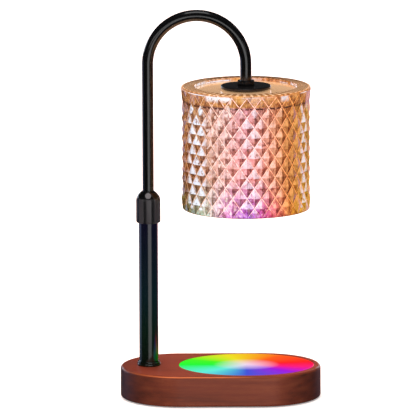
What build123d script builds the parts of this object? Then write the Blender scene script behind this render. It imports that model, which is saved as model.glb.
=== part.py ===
from build123d import *
import os
from math import cos, radians, sin

# A candle warmer lamp. A hollow wooden base carries a lit plate for the candle and a
# telescoping post, whose bent neck holds a cut-glass shade with a reflector bulb over the plate.
# Millimetres, +Z up. The origin is on the resting plane, under the middle of the base.
# +X runs from the post towards the candle, and -Y is the front.

# Clearances
running_gap = 0.05  # radial, between pieces that slide or turn on each other
fit_gap = 0.05  # radial, between fixed pieces that are pushed or screwed together
free_gap = 0.3  # between moving pieces that don't guide each other
seat_gap = 0.2  # round panels that drop into a rebate, and faces that stop just short
stop_gap = 0.1  # along the travel, at the lock button's two stops

# Base. It is as large as its plate, its post and the wood round them need.
base_height = 31.0
base_wall = 12.0
base_top_thickness = 9.0
base_top_radius = 3.0
base_bottom_radius = 2.0
cover_margin = 4.0
cover_thickness = 3.0
cover_sink = 1.0
foot_proud = 1.0
foot_diameter = 14.0
foot_inset_x = 34.0
foot_inset_y = 22.0

# Light plate and the board of lamps under it
plate_length = 135.6
plate_depth = 108.6
plate_margin_x = 6.7
plate_margin_y = 5.7
plate_thickness = 3.0
plate_edge_radius = 0.4
plate_ledge_x = 6.0
plate_ledge_y = 6.8
board_margin = 4.8
board_thickness = 1.6
board_drop = 8.4
led_count = 24
led_size = 5.0
led_height = 1.4
led_inset = 8.0
standoff_diameter = 6.0
standoff_inset = 17.0

# Counterweight, control board and cable gland
weight_from_post = 32.5
weight_end_gap = 18.0
weight_side_gap = 8.0
weight_thickness = 8.0
weight_screw_inset_x = 20.0
weight_screw_inset_y = 15.0
control_from_post = 22.5
control_from_wall = 8.0
control_length = 24.0
control_depth = 20.0
control_thickness = 1.6
pillar_diameter = 4.0
pillar_height = 5.0
pillar_spacing = 16.0
chip_size = 8.0
chip_height = 1.5
capacitor_diameter = 6.0
capacitor_height = 8.0
terminal_length = 6.0
terminal_depth = 12.0
terminal_height = 7.0
gland_from_post = 42.5
gland_z = 14.0
gland_diameter = 8.0
gland_flange_diameter = 13.0
gland_flange_thickness = 2.0
gland_lip = 0.8
gland_lip_thickness = 1.5
gland_bore_diameter = 5.5

# Screws
screw_diameter = 3.0
screw_head_diameter = 5.8
screw_head_height = 1.6
cover_screw_length = 12.0
weight_screw_length = 9.0
board_screw_end_gap = 2.6

# Post
post_room = 2.5
tube_diameter = 19.3
tube_wall = 1.2
tube_above_base = 158.0
tube_past_nut = 1.5
post_washer_diameter = 28.0
post_washer_thickness = 1.5
post_nut_flats = 24.0
post_nut_height = 5.0
foot_ring_wall = 2.05
foot_ring_height = 4.6
foot_ring_step = 0.6
foot_ring_step_height = 2.0
foot_ring_chamfer = 0.4

# Collet in the mouth of the post
collet_depth = 18.0
collet_flange = 2.0
collet_nose_height = 8.0
collet_nose_step = 0.9
collet_nose_wall = 1.75
collet_slots = 4
collet_slot_width = 1.0
collet_slot_depth = 12.0

# Twist-lock collar, with a groove on each side of the narrow rib between two lands
collar_wall = 2.55
collar_skirt = 12.2
collar_straight = 21.9
collar_dome = 10.0
collar_bottom_radius = 1.6
collar_lands = 9
collar_rib_angle = -66.6
flute_half_angle = 5.5
flute_width = 1.05
flute_depth = 0.55
flute_height = 25.0

# Lock button in the collar's dome, pressed in towards the post
button_diameter = 5.7
button_length = 3.1
button_travel = 0.9
button_proud = 0.7
button_edge_radius = 0.3
button_rim = 0.3
button_rim_thickness = 0.5
button_drop = 3.5
button_bore_diameter = 4.0
button_bore_depth = 2.0
pocket_wall = 1.1
boss_diameter = 7.4
spring_wire = 0.4
spring_diameter = 3.4
spring_turns = 4

# Neck
neck_diameter = 11.4
neck_wall = 1.5
neck_span = 98.0
neck_above_post = 148.0
neck_in_post = 100.0
neck_leg = 16.5
thread_shoulder = 0.7
thread_end_gap = 3.3
glide_height = 12.0
clip_rim = 1.5
clip_thickness = 0.8
clip_from_end = 1.0

# Fittings that clamp the shade
nut_flats = 16.5
nut_height = 4.9
nut_chamfer = 0.7
disc_diameter = 50.2
disc_thickness = 3.2
disc_edge_radius = 0.8
top_gasket_diameter = 44.0
top_gasket_thickness = 0.8
lower_gasket_diameter = 38.0
lower_gasket_thickness = 1.5
clamp_washer_diameter = 34.0
clamp_washer_thickness = 1.2

# Glass shade, cut all round with diamonds that stand up as low pyramids
shade_height = 123.6
shade_wall = 4.1
shade_ceiling_radius = 6.0
shade_top_thickness = 8.6
shade_hole_diameter = 12.0
shade_recess_diameter = 102.0
shade_recess_depth = 3.2
shade_rim_diameter = 129.8
shade_rim_radius = 2.1
shade_foot_diameter = 129.6
shade_foot_radius = 2.2
shade_wall_diameter = 128.4
groove_depth = 1.9
diamond_columns = 27
diamond_half_rows = 12
diamond_phase = -89.4

# Lamp holder and bulb
cap_rim = 2.1
cap_height = 9.0
cap_edge_radius = 1.5
holder_rim = 2.0
holder_height = 16.0
holder_screw_gap = 0.35
holder_screw_length = 15.0
pin_spacing = 10.0
pin_diameter = 3.0
pin_length = 7.0
pin_head_diameter = 5.0
pin_head_height = 3.0
pin_slot_diameter = 6.4
pin_slot_depth = 13.8
contact_height = 6.0
contact_width = 4.0
contact_thickness = 1.2
bulb_base_height = 15.0
bulb_base_top_diameter = 24.0
bulb_base_diameter = 28.0
reflector_height = 30.0
reflector_diameter = 50.0
reflector_belly_diameter = 43.6
reflector_belly_drop = 13.0
reflector_rim_height = 4.0
reflector_wall = 1.6
reflector_throat_diameter = 12.0
lens_thickness = 2.0
capsule_diameter = 9.0
capsule_length = 20.0
capsule_tip_radius = 3.0

# Heights of the base and what is in it
base_bottom = foot_proud
base_top = base_bottom + base_height
base_ceiling = base_top - base_top_thickness
cover_bottom = base_bottom + cover_sink
cover_top = cover_bottom + cover_thickness
weight_top = cover_top + weight_thickness
plate_bottom = base_top - plate_thickness
board_top = plate_bottom - board_drop
board_bottom = board_top - board_thickness
control_bottom = cover_top + pillar_height
control_top = control_bottom + control_thickness

# The lamp holder's screws pass outside the clamp nut, and its cap and body reach past the screws
holder_screw_spacing = nut_flats + screw_head_diameter + 2 * holder_screw_gap
cap_radius = (holder_screw_spacing + screw_head_diameter) / 2 + cap_rim
holder_radius = (holder_screw_spacing + screw_diameter) / 2 + holder_rim

# The base's outline, the post, the neck and the collar
post_inset = base_wall + post_room + post_washer_diameter / 2
base_length = post_inset + neck_span + plate_length / 2 + plate_margin_x
base_depth = plate_depth + 2 * plate_margin_y
post_x = -base_length / 2 + post_inset
lamp_x = post_x + neck_span
tube_radius = tube_diameter / 2
tube_bore = tube_radius - tube_wall
tube_top = base_top + tube_above_base
post_washer_seat = base_ceiling - post_washer_thickness
post_nut_seat = post_washer_seat - post_nut_height
tube_bottom = post_nut_seat - tube_past_nut
neck_radius = neck_diameter / 2
neck_bore = neck_radius - neck_wall
neck_foot = tube_top - neck_in_post
neck_spring = tube_top + neck_above_post
glide_bottom = neck_foot + clip_from_end + clip_thickness + seat_gap
glide_top = glide_bottom + glide_height
foot_ring_radius = tube_radius + fit_gap + foot_ring_wall
collet_shoulder = tube_top + collet_flange
collet_top = collet_shoulder + collet_nose_height
collet_wide = tube_radius - collet_nose_step
collet_narrow = neck_radius + running_gap + collet_nose_wall
collar_bottom = tube_top - collar_skirt
collar_bore = tube_radius + running_gap
collar_radius = collar_bore + collar_wall
collar_throat = neck_radius + free_gap
dome_start = collar_bottom + collar_straight
collar_top = dome_start + collar_dome

# The lock button, its pocket and its spring, as distances forward of the post's axis
button_z = collar_top - button_drop
pocket_floor = collar_throat + pocket_wall
button_back = pocket_floor + stop_gap + button_travel
button_face = button_back + button_length
boss_face = button_face - button_proud
pocket_shoulder = button_back + button_rim_thickness + stop_gap
spring_front = button_back + button_bore_depth

# The stack that clamps the shade, from the neck's end down
leg_end = neck_spring - neck_leg
thread_radius = neck_radius - thread_shoulder
thread_hole = thread_radius + fit_gap
neck_nut_seat = leg_end - nut_height
disc_seat = neck_nut_seat - disc_thickness
glass_seat = disc_seat - top_gasket_thickness
shade_top = glass_seat + shade_recess_depth
shade_bottom = shade_top - shade_height
shade_ceiling = glass_seat - shade_top_thickness
lower_gasket_seat = shade_ceiling - lower_gasket_thickness
clamp_washer_seat = lower_gasket_seat - clamp_washer_thickness
clamp_nut_seat = clamp_washer_seat - nut_height
cap_top = clamp_nut_seat - seat_gap
cap_bottom = cap_top - cap_height
thread_end = cap_bottom + thread_end_gap
holder_bottom = cap_bottom - holder_height
bulb_top = holder_bottom - seat_gap
reflector_top = bulb_top - bulb_base_height
reflector_bottom = reflector_top - reflector_height

# The board that lights the plate, smaller than the hole in the wood between them
board_length = plate_length - 2 * (plate_ledge_x + board_margin)
board_depth = plate_depth - 2 * (plate_ledge_y + board_margin)
board_screw_length = board_top - weight_top - board_screw_end_gap

# The counterweight lies between the post and the far end of the base's hollow
weight_left = post_x + weight_from_post
weight_right = base_length / 2 - base_wall - weight_end_gap
weight_length = weight_right - weight_left
weight_depth = base_depth - 2 * (base_wall + weight_side_gap)
weight_x = (weight_left + weight_right) / 2

# Places in the base, measured from the post and from the back wall's inside
control_x = post_x + control_from_post
control_y = base_depth / 2 - base_wall - control_from_wall - control_depth / 2
gland_x = post_x + gland_from_post

# The shade's cavity and the height of its half rows
shade_bore = shade_wall_diameter / 2 - groove_depth - shade_wall
diamond_half_height = (shade_height - shade_rim_radius) / diamond_half_rows

# Places of what repeats
screw_inset = (cover_margin + base_wall) / 2
straight_half = (base_length - base_depth) / 2
cover_screw_places = [(side * (base_length / 2 - screw_inset), 0) for side in (-1, 1)]
for side_x in (-1, 1):
    for side_y in (-1, 1):
        cover_screw_places.append((side_x * straight_half, side_y * (base_depth / 2 - screw_inset)))

foot_spacing_x = base_length - 2 * foot_inset_x
foot_spacing_y = base_depth - 2 * foot_inset_y
weight_screw_spacing_x = weight_length - 2 * weight_screw_inset_x
weight_screw_spacing_y = weight_depth - 2 * weight_screw_inset_y


def oval_places(count, inset, start):
    """Places on an oval that lies inside the board's edge, the first at that angle in degrees."""
    places = []
    for number in range(count):
        turn = radians(start + number * 360 / count)
        x = lamp_x + (board_length / 2 - inset) * cos(turn)
        y = (board_depth / 2 - inset) * sin(turn)
        places.append((x, y))
    return places


led_places = oval_places(led_count, led_inset, 0)
standoff_places = oval_places(4, standoff_inset, 45)
upwards = (Align.CENTER, Align.CENTER, Align.MIN)


def level(x, z, y=0):
    """A horizontal sketch plane at height z, centred on x and y."""
    return Plane(origin=(x, y, z), x_dir=(1, 0, 0), z_dir=(0, 0, 1))


def upright(x):
    """A sketch plane through the vertical axis at x. Its Y is the height above the floor."""
    return Plane(origin=(x, 0, 0), x_dir=(1, 0, 0), z_dir=(0, -1, 0))


def forward(distance):
    """A sketch plane on the lock button's axis, facing the front, that far from the post's axis."""
    return Plane(origin=(post_x, -distance, button_z), x_dir=(1, 0, 0), z_dir=(0, -1, 0))


def backward(distance):
    """A sketch plane on the cable gland's axis, facing the back, that far outside the base."""
    origin = (gland_x, base_depth / 2 + distance, gland_z)
    return Plane(origin=origin, x_dir=(-1, 0, 0), z_dir=(0, 1, 0))


def vertical(x):
    """The vertical axis at x."""
    return Axis((x, 0, 0), (0, 0, 1))


def ring(outer, inner):
    """A ring in the present sketch, from its two radii."""
    Circle(outer)
    Circle(inner, mode=Mode.SUBTRACT)


def countersunk(diameter, head, length, mode=Mode.ADD):
    """A countersunk screw, or the hole for one, head down at each present location."""
    Cylinder(diameter / 2, length, align=upwards, mode=mode)
    Cone(head / 2, diameter / 2, (head - diameter) / 2, align=upwards, mode=mode)


def nut(x, z, flats, height, hole):
    """A hexagonal nut in the present part, with a corner to the front and its upper corners turned off."""
    with BuildSketch(level(x, z)) as outline:
        RegularPolygon(flats / 2, 6, major_radius=False, rotation=30)
        Circle(hole, mode=Mode.SUBTRACT)
    extrude(outline.sketch, amount=height)
    corner = flats / 2 / cos(radians(30))
    with BuildSketch(upright(x)) as turned:
        with BuildLine():
            Polyline(
                (0, z),
                (corner, z),
                (corner, z + height - nut_chamfer),
                (flats / 2, z + height),
                (0, z + height),
                close=True,
            )
        make_face()
    revolve(turned.sketch, axis=vertical(x), mode=Mode.INTERSECT)


# Base: a stadium of wood, hollow from below, with a rebate for the cover and one for the plate
with BuildPart() as base_body:
    with BuildSketch(level(0, base_bottom)):
        SlotOverall(base_length, base_depth)
    extrude(amount=base_height)
    fillet(base_body.edges().group_by(Axis.Z)[-1], base_top_radius)
    fillet(base_body.edges().group_by(Axis.Z)[0], base_bottom_radius)
    with BuildSketch(level(0, base_bottom)):
        SlotOverall(base_length - 2 * cover_margin, base_depth - 2 * cover_margin)
    extrude(amount=cover_top - base_bottom, mode=Mode.SUBTRACT)
    with BuildSketch(level(0, cover_top)):
        SlotOverall(base_length - 2 * base_wall, base_depth - 2 * base_wall)
    extrude(amount=base_ceiling - cover_top, mode=Mode.SUBTRACT)
    with BuildSketch(level(lamp_x, plate_bottom)):
        Ellipse(plate_length / 2 + seat_gap, plate_depth / 2 + seat_gap)
    extrude(amount=plate_thickness, mode=Mode.SUBTRACT)
    with BuildSketch(level(lamp_x, base_ceiling)):
        Ellipse(plate_length / 2 - plate_ledge_x, plate_depth / 2 - plate_ledge_y)
    extrude(amount=base_top_thickness, mode=Mode.SUBTRACT)
    with BuildSketch(level(post_x, base_ceiling)):
        Circle(tube_radius + fit_gap)
    extrude(amount=base_top_thickness, mode=Mode.SUBTRACT)
    with BuildSketch(backward(0)):
        Circle(gland_diameter / 2 + fit_gap)
    extrude(amount=-base_wall, mode=Mode.SUBTRACT)
    with BuildSketch(level(0, cover_top)):
        with Locations(*cover_screw_places):
            Circle(screw_diameter / 2)
    extrude(amount=cover_screw_length - cover_thickness, mode=Mode.SUBTRACT)

# Bottom cover: a fibreboard panel in the rebate, which carries the counterweight
with BuildPart() as bottom_cover:
    with BuildSketch(level(0, cover_bottom)):
        SlotOverall(
            base_length - 2 * cover_margin - 2 * seat_gap,
            base_depth - 2 * cover_margin - 2 * seat_gap,
        )
    extrude(amount=cover_thickness)
    with Locations((0, 0, cover_bottom)):
        with Locations(*cover_screw_places):
            countersunk(screw_diameter, screw_head_diameter, cover_thickness, mode=Mode.SUBTRACT)
    with Locations((weight_x, 0, cover_bottom)):
        with GridLocations(weight_screw_spacing_x, weight_screw_spacing_y, 2, 2):
            countersunk(screw_diameter, screw_head_diameter, cover_thickness, mode=Mode.SUBTRACT)

# Screws that hold the cover to the wood
with BuildPart() as cover_screws:
    with Locations((0, 0, cover_bottom)):
        with Locations(*cover_screw_places):
            countersunk(
                screw_diameter - 2 * fit_gap, screw_head_diameter - 2 * fit_gap, cover_screw_length
            )

# Rubber feet, stuck under the cover and a little proud of the wood
with BuildPart() as rubber_feet:
    with BuildSketch(level(0, 0)):
        with GridLocations(foot_spacing_x, foot_spacing_y, 2, 2):
            Circle(foot_diameter / 2)
    extrude(amount=cover_bottom)

# Counterweight: a cast plate that keeps the lamp upright with its neck swung out
with BuildPart() as counterweight:
    with BuildSketch(level(weight_x, cover_top)):
        SlotOverall(weight_length, weight_depth)
    extrude(amount=weight_thickness)
    with BuildSketch(level(weight_x, cover_top)):
        with GridLocations(weight_screw_spacing_x, weight_screw_spacing_y, 2, 2):
            Circle(screw_diameter / 2)
    extrude(amount=weight_screw_length - cover_thickness, mode=Mode.SUBTRACT)

# Screws that hold the counterweight to the cover
with BuildPart() as weight_screws:
    with Locations((weight_x, 0, cover_bottom)):
        with GridLocations(weight_screw_spacing_x, weight_screw_spacing_y, 2, 2):
            countersunk(
                screw_diameter - 2 * fit_gap, screw_head_diameter - 2 * fit_gap, weight_screw_length
            )

# Light plate: opal acrylic, level with the wood, where the candle stands
with BuildPart() as light_plate:
    with BuildSketch(level(lamp_x, plate_bottom)):
        Ellipse(plate_length / 2, plate_depth / 2)
    extrude(amount=plate_thickness)
    fillet(light_plate.edges().group_by(Axis.Z)[-1], plate_edge_radius)

# Board that carries the coloured lamps, on four standoffs
with BuildPart() as led_board:
    with BuildSketch(level(lamp_x, board_bottom)):
        Ellipse(board_length / 2, board_depth / 2)
    extrude(amount=board_thickness)
    with BuildSketch(level(0, board_bottom)):
        with Locations(*standoff_places):
            Circle(screw_diameter / 2)
    extrude(amount=board_thickness, mode=Mode.SUBTRACT)

# The coloured lamps, in an oval just inside the plate's edge
with BuildPart() as leds:
    with BuildSketch(level(0, board_top)):
        with Locations(*led_places):
            Rectangle(led_size, led_size)
    extrude(amount=led_height)

# Standoffs between the counterweight and the board
with BuildPart() as board_standoffs:
    with BuildSketch(level(0, weight_top)):
        with Locations(*standoff_places):
            ring(standoff_diameter / 2, screw_diameter / 2)
    extrude(amount=board_bottom - weight_top)

# Pan-head screws down through the board into the standoffs
with BuildPart() as board_screws:
    with BuildSketch(level(0, board_top)):
        with Locations(*standoff_places):
            Circle(screw_head_diameter / 2)
    extrude(amount=screw_head_height)
    with BuildSketch(level(0, board_top)):
        with Locations(*standoff_places):
            Circle(screw_diameter / 2 - fit_gap)
    extrude(amount=-board_screw_length)

# Control board that feeds the coloured lamps and dims the bulb
with BuildPart() as control_board:
    with BuildSketch(level(control_x, control_bottom, control_y)):
        Rectangle(control_length, control_depth)
    extrude(amount=control_thickness)

# Pillars that hold the control board off the cover
with BuildPart() as control_pillars:
    with BuildSketch(level(control_x, cover_top, control_y)):
        with GridLocations(pillar_spacing, 0, 2, 1):
            Circle(pillar_diameter / 2)
    extrude(amount=pillar_height)

# What stands on the control board: its chip, a capacitor and the wiring terminal
with BuildPart() as control_parts:
    with Locations((control_x, control_y, control_top)):
        Box(chip_size, chip_size, chip_height, align=upwards)
        with Locations((chip_size, 0, 0)):
            Cylinder(capacitor_diameter / 2, capacitor_height, align=upwards)
        with Locations((-chip_size, 0, 0)):
            Box(terminal_length, terminal_depth, terminal_height, align=upwards)

# Cable gland: a rubber grommet through the back wall
with BuildPart() as cable_gland:
    with BuildSketch(backward(0)):
        ring(gland_flange_diameter / 2, gland_bore_diameter / 2)
    extrude(amount=gland_flange_thickness)
    with BuildSketch(backward(0)):
        ring(gland_diameter / 2, gland_bore_diameter / 2)
    extrude(amount=-(base_wall + seat_gap + gland_lip_thickness))
    with BuildSketch(backward(-base_wall - seat_gap)):
        ring(gland_diameter / 2 + gland_lip, gland_bore_diameter / 2)
    extrude(amount=-gland_lip_thickness)

# Post: the lower tube, through the base's top
with BuildPart() as lower_tube:
    with BuildSketch(level(post_x, tube_bottom)):
        ring(tube_radius, tube_bore)
    extrude(amount=tube_top - tube_bottom)

# Ring that covers the hole in the wood
with BuildPart() as foot_ring:
    with BuildSketch(level(post_x, base_top)):
        ring(foot_ring_radius, tube_radius + fit_gap)
    extrude(amount=foot_ring_height - foot_ring_step_height)
    with BuildSketch(level(post_x, base_top + foot_ring_height - foot_ring_step_height)):
        ring(foot_ring_radius - foot_ring_step, tube_radius + fit_gap)
    extrude(amount=foot_ring_step_height)
    top_edges = foot_ring.edges().filter_by(GeomType.CIRCLE).group_by(Axis.Z)[-1]
    chamfer(top_edges.sort_by(SortBy.RADIUS)[-1], foot_ring_chamfer)

# Washer and nut that clamp the post from inside the base
with BuildPart() as post_washer:
    with BuildSketch(level(post_x, post_washer_seat)):
        ring(post_washer_diameter / 2, tube_radius + fit_gap)
    extrude(amount=post_washer_thickness)

with BuildPart() as post_nut:
    nut(post_x, post_nut_seat, post_nut_flats, post_nut_height, tube_radius + fit_gap)

# Collet: a nylon sleeve in the post's mouth, with a slit nose that the collar squeezes on the neck
with BuildPart() as collet:
    with BuildSketch(upright(post_x)):
        with BuildLine():
            Polyline(
                (neck_radius + running_gap, tube_top - collet_depth),
                (tube_bore - fit_gap, tube_top - collet_depth),
                (tube_bore - fit_gap, tube_top),
                (tube_radius, tube_top),
                (tube_radius, collet_shoulder),
                (collet_wide, collet_shoulder),
                (collet_narrow, collet_top),
                (neck_radius + running_gap, collet_top),
                close=True,
            )
        make_face()
    revolve(axis=vertical(post_x))
    with BuildSketch(level(post_x, collet_top - collet_slot_depth)):
        with PolarLocations(tube_radius / 2, collet_slots):
            Rectangle(tube_diameter, collet_slot_width)
    extrude(amount=collet_slot_depth, mode=Mode.SUBTRACT)

# Collar: a fluted, domed sleeve that turns on the post's end
with BuildPart() as lock_collar:
    with BuildSketch(upright(post_x)):
        with BuildLine():
            Polyline(
                (collar_throat, collar_top),
                (collar_throat, collet_top + free_gap),
                (collet_narrow + free_gap, collet_top + free_gap),
                (collet_wide + free_gap, collet_shoulder + free_gap),
                (collar_bore, collet_shoulder + free_gap),
                (collar_bore, collar_bottom),
                (collar_radius, collar_bottom),
                (collar_radius, dome_start),
            )
            TangentArc((collar_radius, dome_start), (collar_throat, collar_top), tangent=(0, 1))
        make_face()
    revolve(axis=vertical(post_x))
    bottom_edges = lock_collar.edges().filter_by(GeomType.CIRCLE).group_by(Axis.Z)[0]
    fillet(bottom_edges.sort_by(SortBy.RADIUS)[-1], collar_bottom_radius)
    for half_angle in (-flute_half_angle, flute_half_angle):
        with BuildSketch(level(post_x, collar_bottom)):
            with PolarLocations(collar_radius, collar_lands, collar_rib_angle + half_angle):
                Rectangle(2 * flute_depth, flute_width)
        extrude(amount=flute_height, mode=Mode.SUBTRACT)
    with BuildSketch(forward(pocket_floor)):
        Circle(boss_diameter / 2)
    extrude(amount=boss_face - pocket_floor)
    with BuildSketch(forward(pocket_floor)):
        Circle(button_diameter / 2 + button_rim + stop_gap)
    extrude(amount=pocket_shoulder - pocket_floor, mode=Mode.SUBTRACT)
    with BuildSketch(forward(pocket_floor)):
        Circle(button_diameter / 2 + running_gap)
    extrude(amount=collar_radius, mode=Mode.SUBTRACT)

# Lock button: a round cap with a snap rim, hollow behind for its spring
with BuildPart() as lock_button:
    with BuildSketch(forward(button_back)):
        Circle(button_diameter / 2)
    extrude(amount=button_face - button_back)
    face_edges = lock_button.edges().filter_by(GeomType.CIRCLE).sort_by(Axis.Y)
    fillet(face_edges[0], button_edge_radius)
    with BuildSketch(forward(button_back)):
        Circle(button_diameter / 2 + button_rim)
    extrude(amount=button_rim_thickness)
    with BuildSketch(forward(button_back)):
        Circle(button_bore_diameter / 2)
    extrude(amount=button_bore_depth, mode=Mode.SUBTRACT)

# Spring that pushes the button out
with BuildPart() as button_spring:
    spring_length = spring_front - pocket_floor - spring_wire
    coil_radius = (spring_diameter - spring_wire) / 2
    coil_start = pocket_floor + spring_wire / 2
    with BuildLine() as coil:
        Helix(
            pitch=spring_length / spring_turns,
            height=spring_length,
            radius=coil_radius,
            center=(post_x, -coil_start, button_z),
            direction=(0, -1, 0),
        )
    with BuildSketch(Plane(origin=coil.line @ 0, z_dir=coil.line % 0)):
        Circle(spring_wire / 2)
    sweep(path=coil.line, is_frenet=True)

# Neck: one bent tube, straight in the post and turned down to a thread over the shade
with BuildPart() as neck:
    with BuildLine(Plane.XZ) as neck_line:
        Line((post_x, neck_foot), (post_x, neck_spring))
        ThreePointArc(
            (post_x, neck_spring),
            (post_x + neck_span / 2, neck_spring + neck_span / 2),
            (lamp_x, neck_spring),
        )
        Line((lamp_x, neck_spring), (lamp_x, leg_end))
    with BuildSketch(level(post_x, neck_foot)):
        ring(neck_radius, neck_bore)
    sweep(path=neck_line.line)
    with BuildSketch(level(lamp_x, thread_end)):
        ring(thread_radius, neck_bore)
    extrude(amount=leg_end - thread_end)

# Glide: a nylon ring that steadies the neck's foot in the post, and in which the neck turns
with BuildPart() as neck_glide:
    with BuildSketch(level(post_x, glide_bottom)):
        ring(tube_bore - running_gap, neck_radius + running_gap)
    extrude(amount=glide_height)

# Clips on the neck that keep the glide between them
with BuildPart() as glide_clips:
    for clip_z in (neck_foot + clip_from_end, glide_top + seat_gap):
        with BuildSketch(level(post_x, clip_z)):
            ring(neck_radius + clip_rim, neck_radius + fit_gap / 2)
        extrude(amount=clip_thickness)

# Nut and cap disc over the shade
with BuildPart() as neck_nut:
    nut(lamp_x, neck_nut_seat, nut_flats, nut_height, thread_hole)

with BuildPart() as cap_disc:
    with BuildSketch(level(lamp_x, disc_seat)):
        Circle(disc_diameter / 2)
    extrude(amount=disc_thickness)
    fillet(cap_disc.edges().filter_by(GeomType.CIRCLE), disc_edge_radius)
    with BuildSketch(level(lamp_x, disc_seat)):
        Circle(thread_hole)
    extrude(amount=disc_thickness, mode=Mode.SUBTRACT)

with BuildPart() as top_gasket:
    with BuildSketch(level(lamp_x, glass_seat)):
        ring(top_gasket_diameter / 2, thread_hole)
    extrude(amount=top_gasket_thickness)


# Glass shade. Its cut pattern is a grid round the wall, where apexes and groove crossings
# alternate like the squares of a chessboard, between plain bands at the foot and the rim.
half_columns = 2 * diamond_columns
foot_apex_radius = shade_foot_diameter / 2
wall_apex_radius = shade_wall_diameter / 2


def shade_point(column, radius, z):
    """A point of the shade's outside, on one of the pattern's columns."""
    angle = radians(diamond_phase + column * 360 / half_columns)
    return (lamp_x + radius * cos(angle), radius * sin(angle), z)


def pattern_point(column, row):
    """A point of the cut pattern. Its first and last rows are plain."""
    z = shade_bottom + row * diamond_half_height
    if row == 0:
        return shade_point(column, foot_apex_radius - shade_foot_radius / 2, z + shade_foot_radius / 2)
    if row == diamond_half_rows:
        return shade_point(column, shade_rim_diameter / 2, z)
    apex = foot_apex_radius if row == 1 else wall_apex_radius
    if (column + row) % 2 == 0:
        apex -= groove_depth
    return shade_point(column, apex, z)


def polygon(*points):
    """A flat face from its corners."""
    return Face(Wire.make_polygon(points, close=True))


shade_faces = []
foot_corners = [
    shade_point(column, foot_apex_radius - shade_foot_radius, shade_bottom)
    for column in range(half_columns)
]
rim_corners = [
    shade_point(column, shade_rim_diameter / 2 - shade_rim_radius, shade_top)
    for column in range(half_columns)
]
shade_faces.append(polygon(*foot_corners))
shade_faces.append(polygon(*rim_corners))
for column in range(half_columns):
    after = (column + 1) % half_columns
    foot_left = pattern_point(column, 0)
    foot_right = pattern_point(after, 0)
    shade_faces.append(
        polygon(foot_corners[column], foot_corners[after], foot_right, foot_left)
    )
    rim_left = pattern_point(column, diamond_half_rows)
    rim_right = pattern_point(after, diamond_half_rows)
    shade_faces.append(polygon(rim_left, rim_right, rim_corners[after], rim_corners[column]))
    for row in range(diamond_half_rows):
        low_left = pattern_point(column, row)
        low_right = pattern_point(after, row)
        high_left = pattern_point(column, row + 1)
        high_right = pattern_point(after, row + 1)
        if (column + row) % 2 == 0:
            shade_faces.append(polygon(low_left, low_right, high_right))
            shade_faces.append(polygon(low_left, high_right, high_left))
        else:
            shade_faces.append(polygon(low_left, low_right, high_left))
            shade_faces.append(polygon(low_right, high_right, high_left))

with BuildPart() as glass_shade:
    add(Solid(Shell(shade_faces)))
    with BuildSketch(level(lamp_x, shade_bottom)):
        Circle(shade_bore)
    extrude(amount=shade_ceiling - shade_bottom, mode=Mode.SUBTRACT)
    ceiling_edges = glass_shade.edges().filter_by(GeomType.CIRCLE).group_by(Axis.Z)[-1]
    fillet(ceiling_edges, shade_ceiling_radius)
    with BuildSketch(level(lamp_x, glass_seat)):
        Circle(shade_recess_diameter / 2)
    extrude(amount=shade_recess_depth, mode=Mode.SUBTRACT)
    with BuildSketch(level(lamp_x, shade_ceiling)):
        Circle(shade_hole_diameter / 2)
    extrude(amount=shade_top_thickness, mode=Mode.SUBTRACT)

# Gasket, washer and nut that draw the shade up against the cap disc
with BuildPart() as lower_gasket:
    with BuildSketch(level(lamp_x, lower_gasket_seat)):
        ring(lower_gasket_diameter / 2, thread_hole)
    extrude(amount=lower_gasket_thickness)

with BuildPart() as clamp_washer:
    with BuildSketch(level(lamp_x, clamp_washer_seat)):
        ring(clamp_washer_diameter / 2, thread_hole)
    extrude(amount=clamp_washer_thickness)

with BuildPart() as clamp_nut:
    nut(lamp_x, clamp_nut_seat, nut_flats, nut_height, thread_hole)

# Lamp holder: a cap that screws on the neck's thread, and the ceramic body under it
with BuildPart() as holder_cap:
    with BuildSketch(level(lamp_x, cap_bottom)):
        Circle(cap_radius)
    extrude(amount=cap_height)
    fillet(holder_cap.edges().group_by(Axis.Z)[-1], cap_edge_radius)
    with BuildSketch(level(lamp_x, cap_bottom)):
        Circle(thread_hole)
        with GridLocations(holder_screw_spacing, 0, 2, 1):
            Circle(screw_diameter / 2)
    extrude(amount=cap_height, mode=Mode.SUBTRACT)

with BuildPart() as lamp_holder:
    with BuildSketch(level(lamp_x, holder_bottom)):
        Circle(holder_radius)
    extrude(amount=holder_height)
    with BuildSketch(level(lamp_x, holder_bottom)):
        with GridLocations(pin_spacing, 0, 2, 1):
            Circle(pin_slot_diameter / 2)
    extrude(amount=pin_slot_depth, mode=Mode.SUBTRACT)
    with BuildSketch(level(lamp_x, cap_bottom)):
        with GridLocations(holder_screw_spacing, 0, 2, 1):
            Circle(screw_diameter / 2)
    extrude(amount=-(holder_screw_length - cap_height), mode=Mode.SUBTRACT)

with BuildPart() as holder_screws:
    with BuildSketch(level(lamp_x, cap_top)):
        with GridLocations(holder_screw_spacing, 0, 2, 1):
            Circle(screw_head_diameter / 2)
    extrude(amount=screw_head_height)
    with BuildSketch(level(lamp_x, cap_top)):
        with GridLocations(holder_screw_spacing, 0, 2, 1):
            Circle(screw_diameter / 2 - fit_gap)
    extrude(amount=-holder_screw_length)

with BuildPart() as holder_contacts:
    with BuildSketch(level(lamp_x, holder_bottom + pin_slot_depth)):
        with GridLocations(pin_spacing, 0, 2, 1):
            Rectangle(contact_thickness, contact_width)
    extrude(amount=-contact_height)

# Reflector bulb: base, twist pins, mirror cup, front glass and the capsule that burns
with BuildPart() as bulb_base:
    with Locations((lamp_x, 0, reflector_top)):
        Cone(bulb_base_diameter / 2, bulb_base_top_diameter / 2, bulb_base_height, align=upwards)

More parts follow.
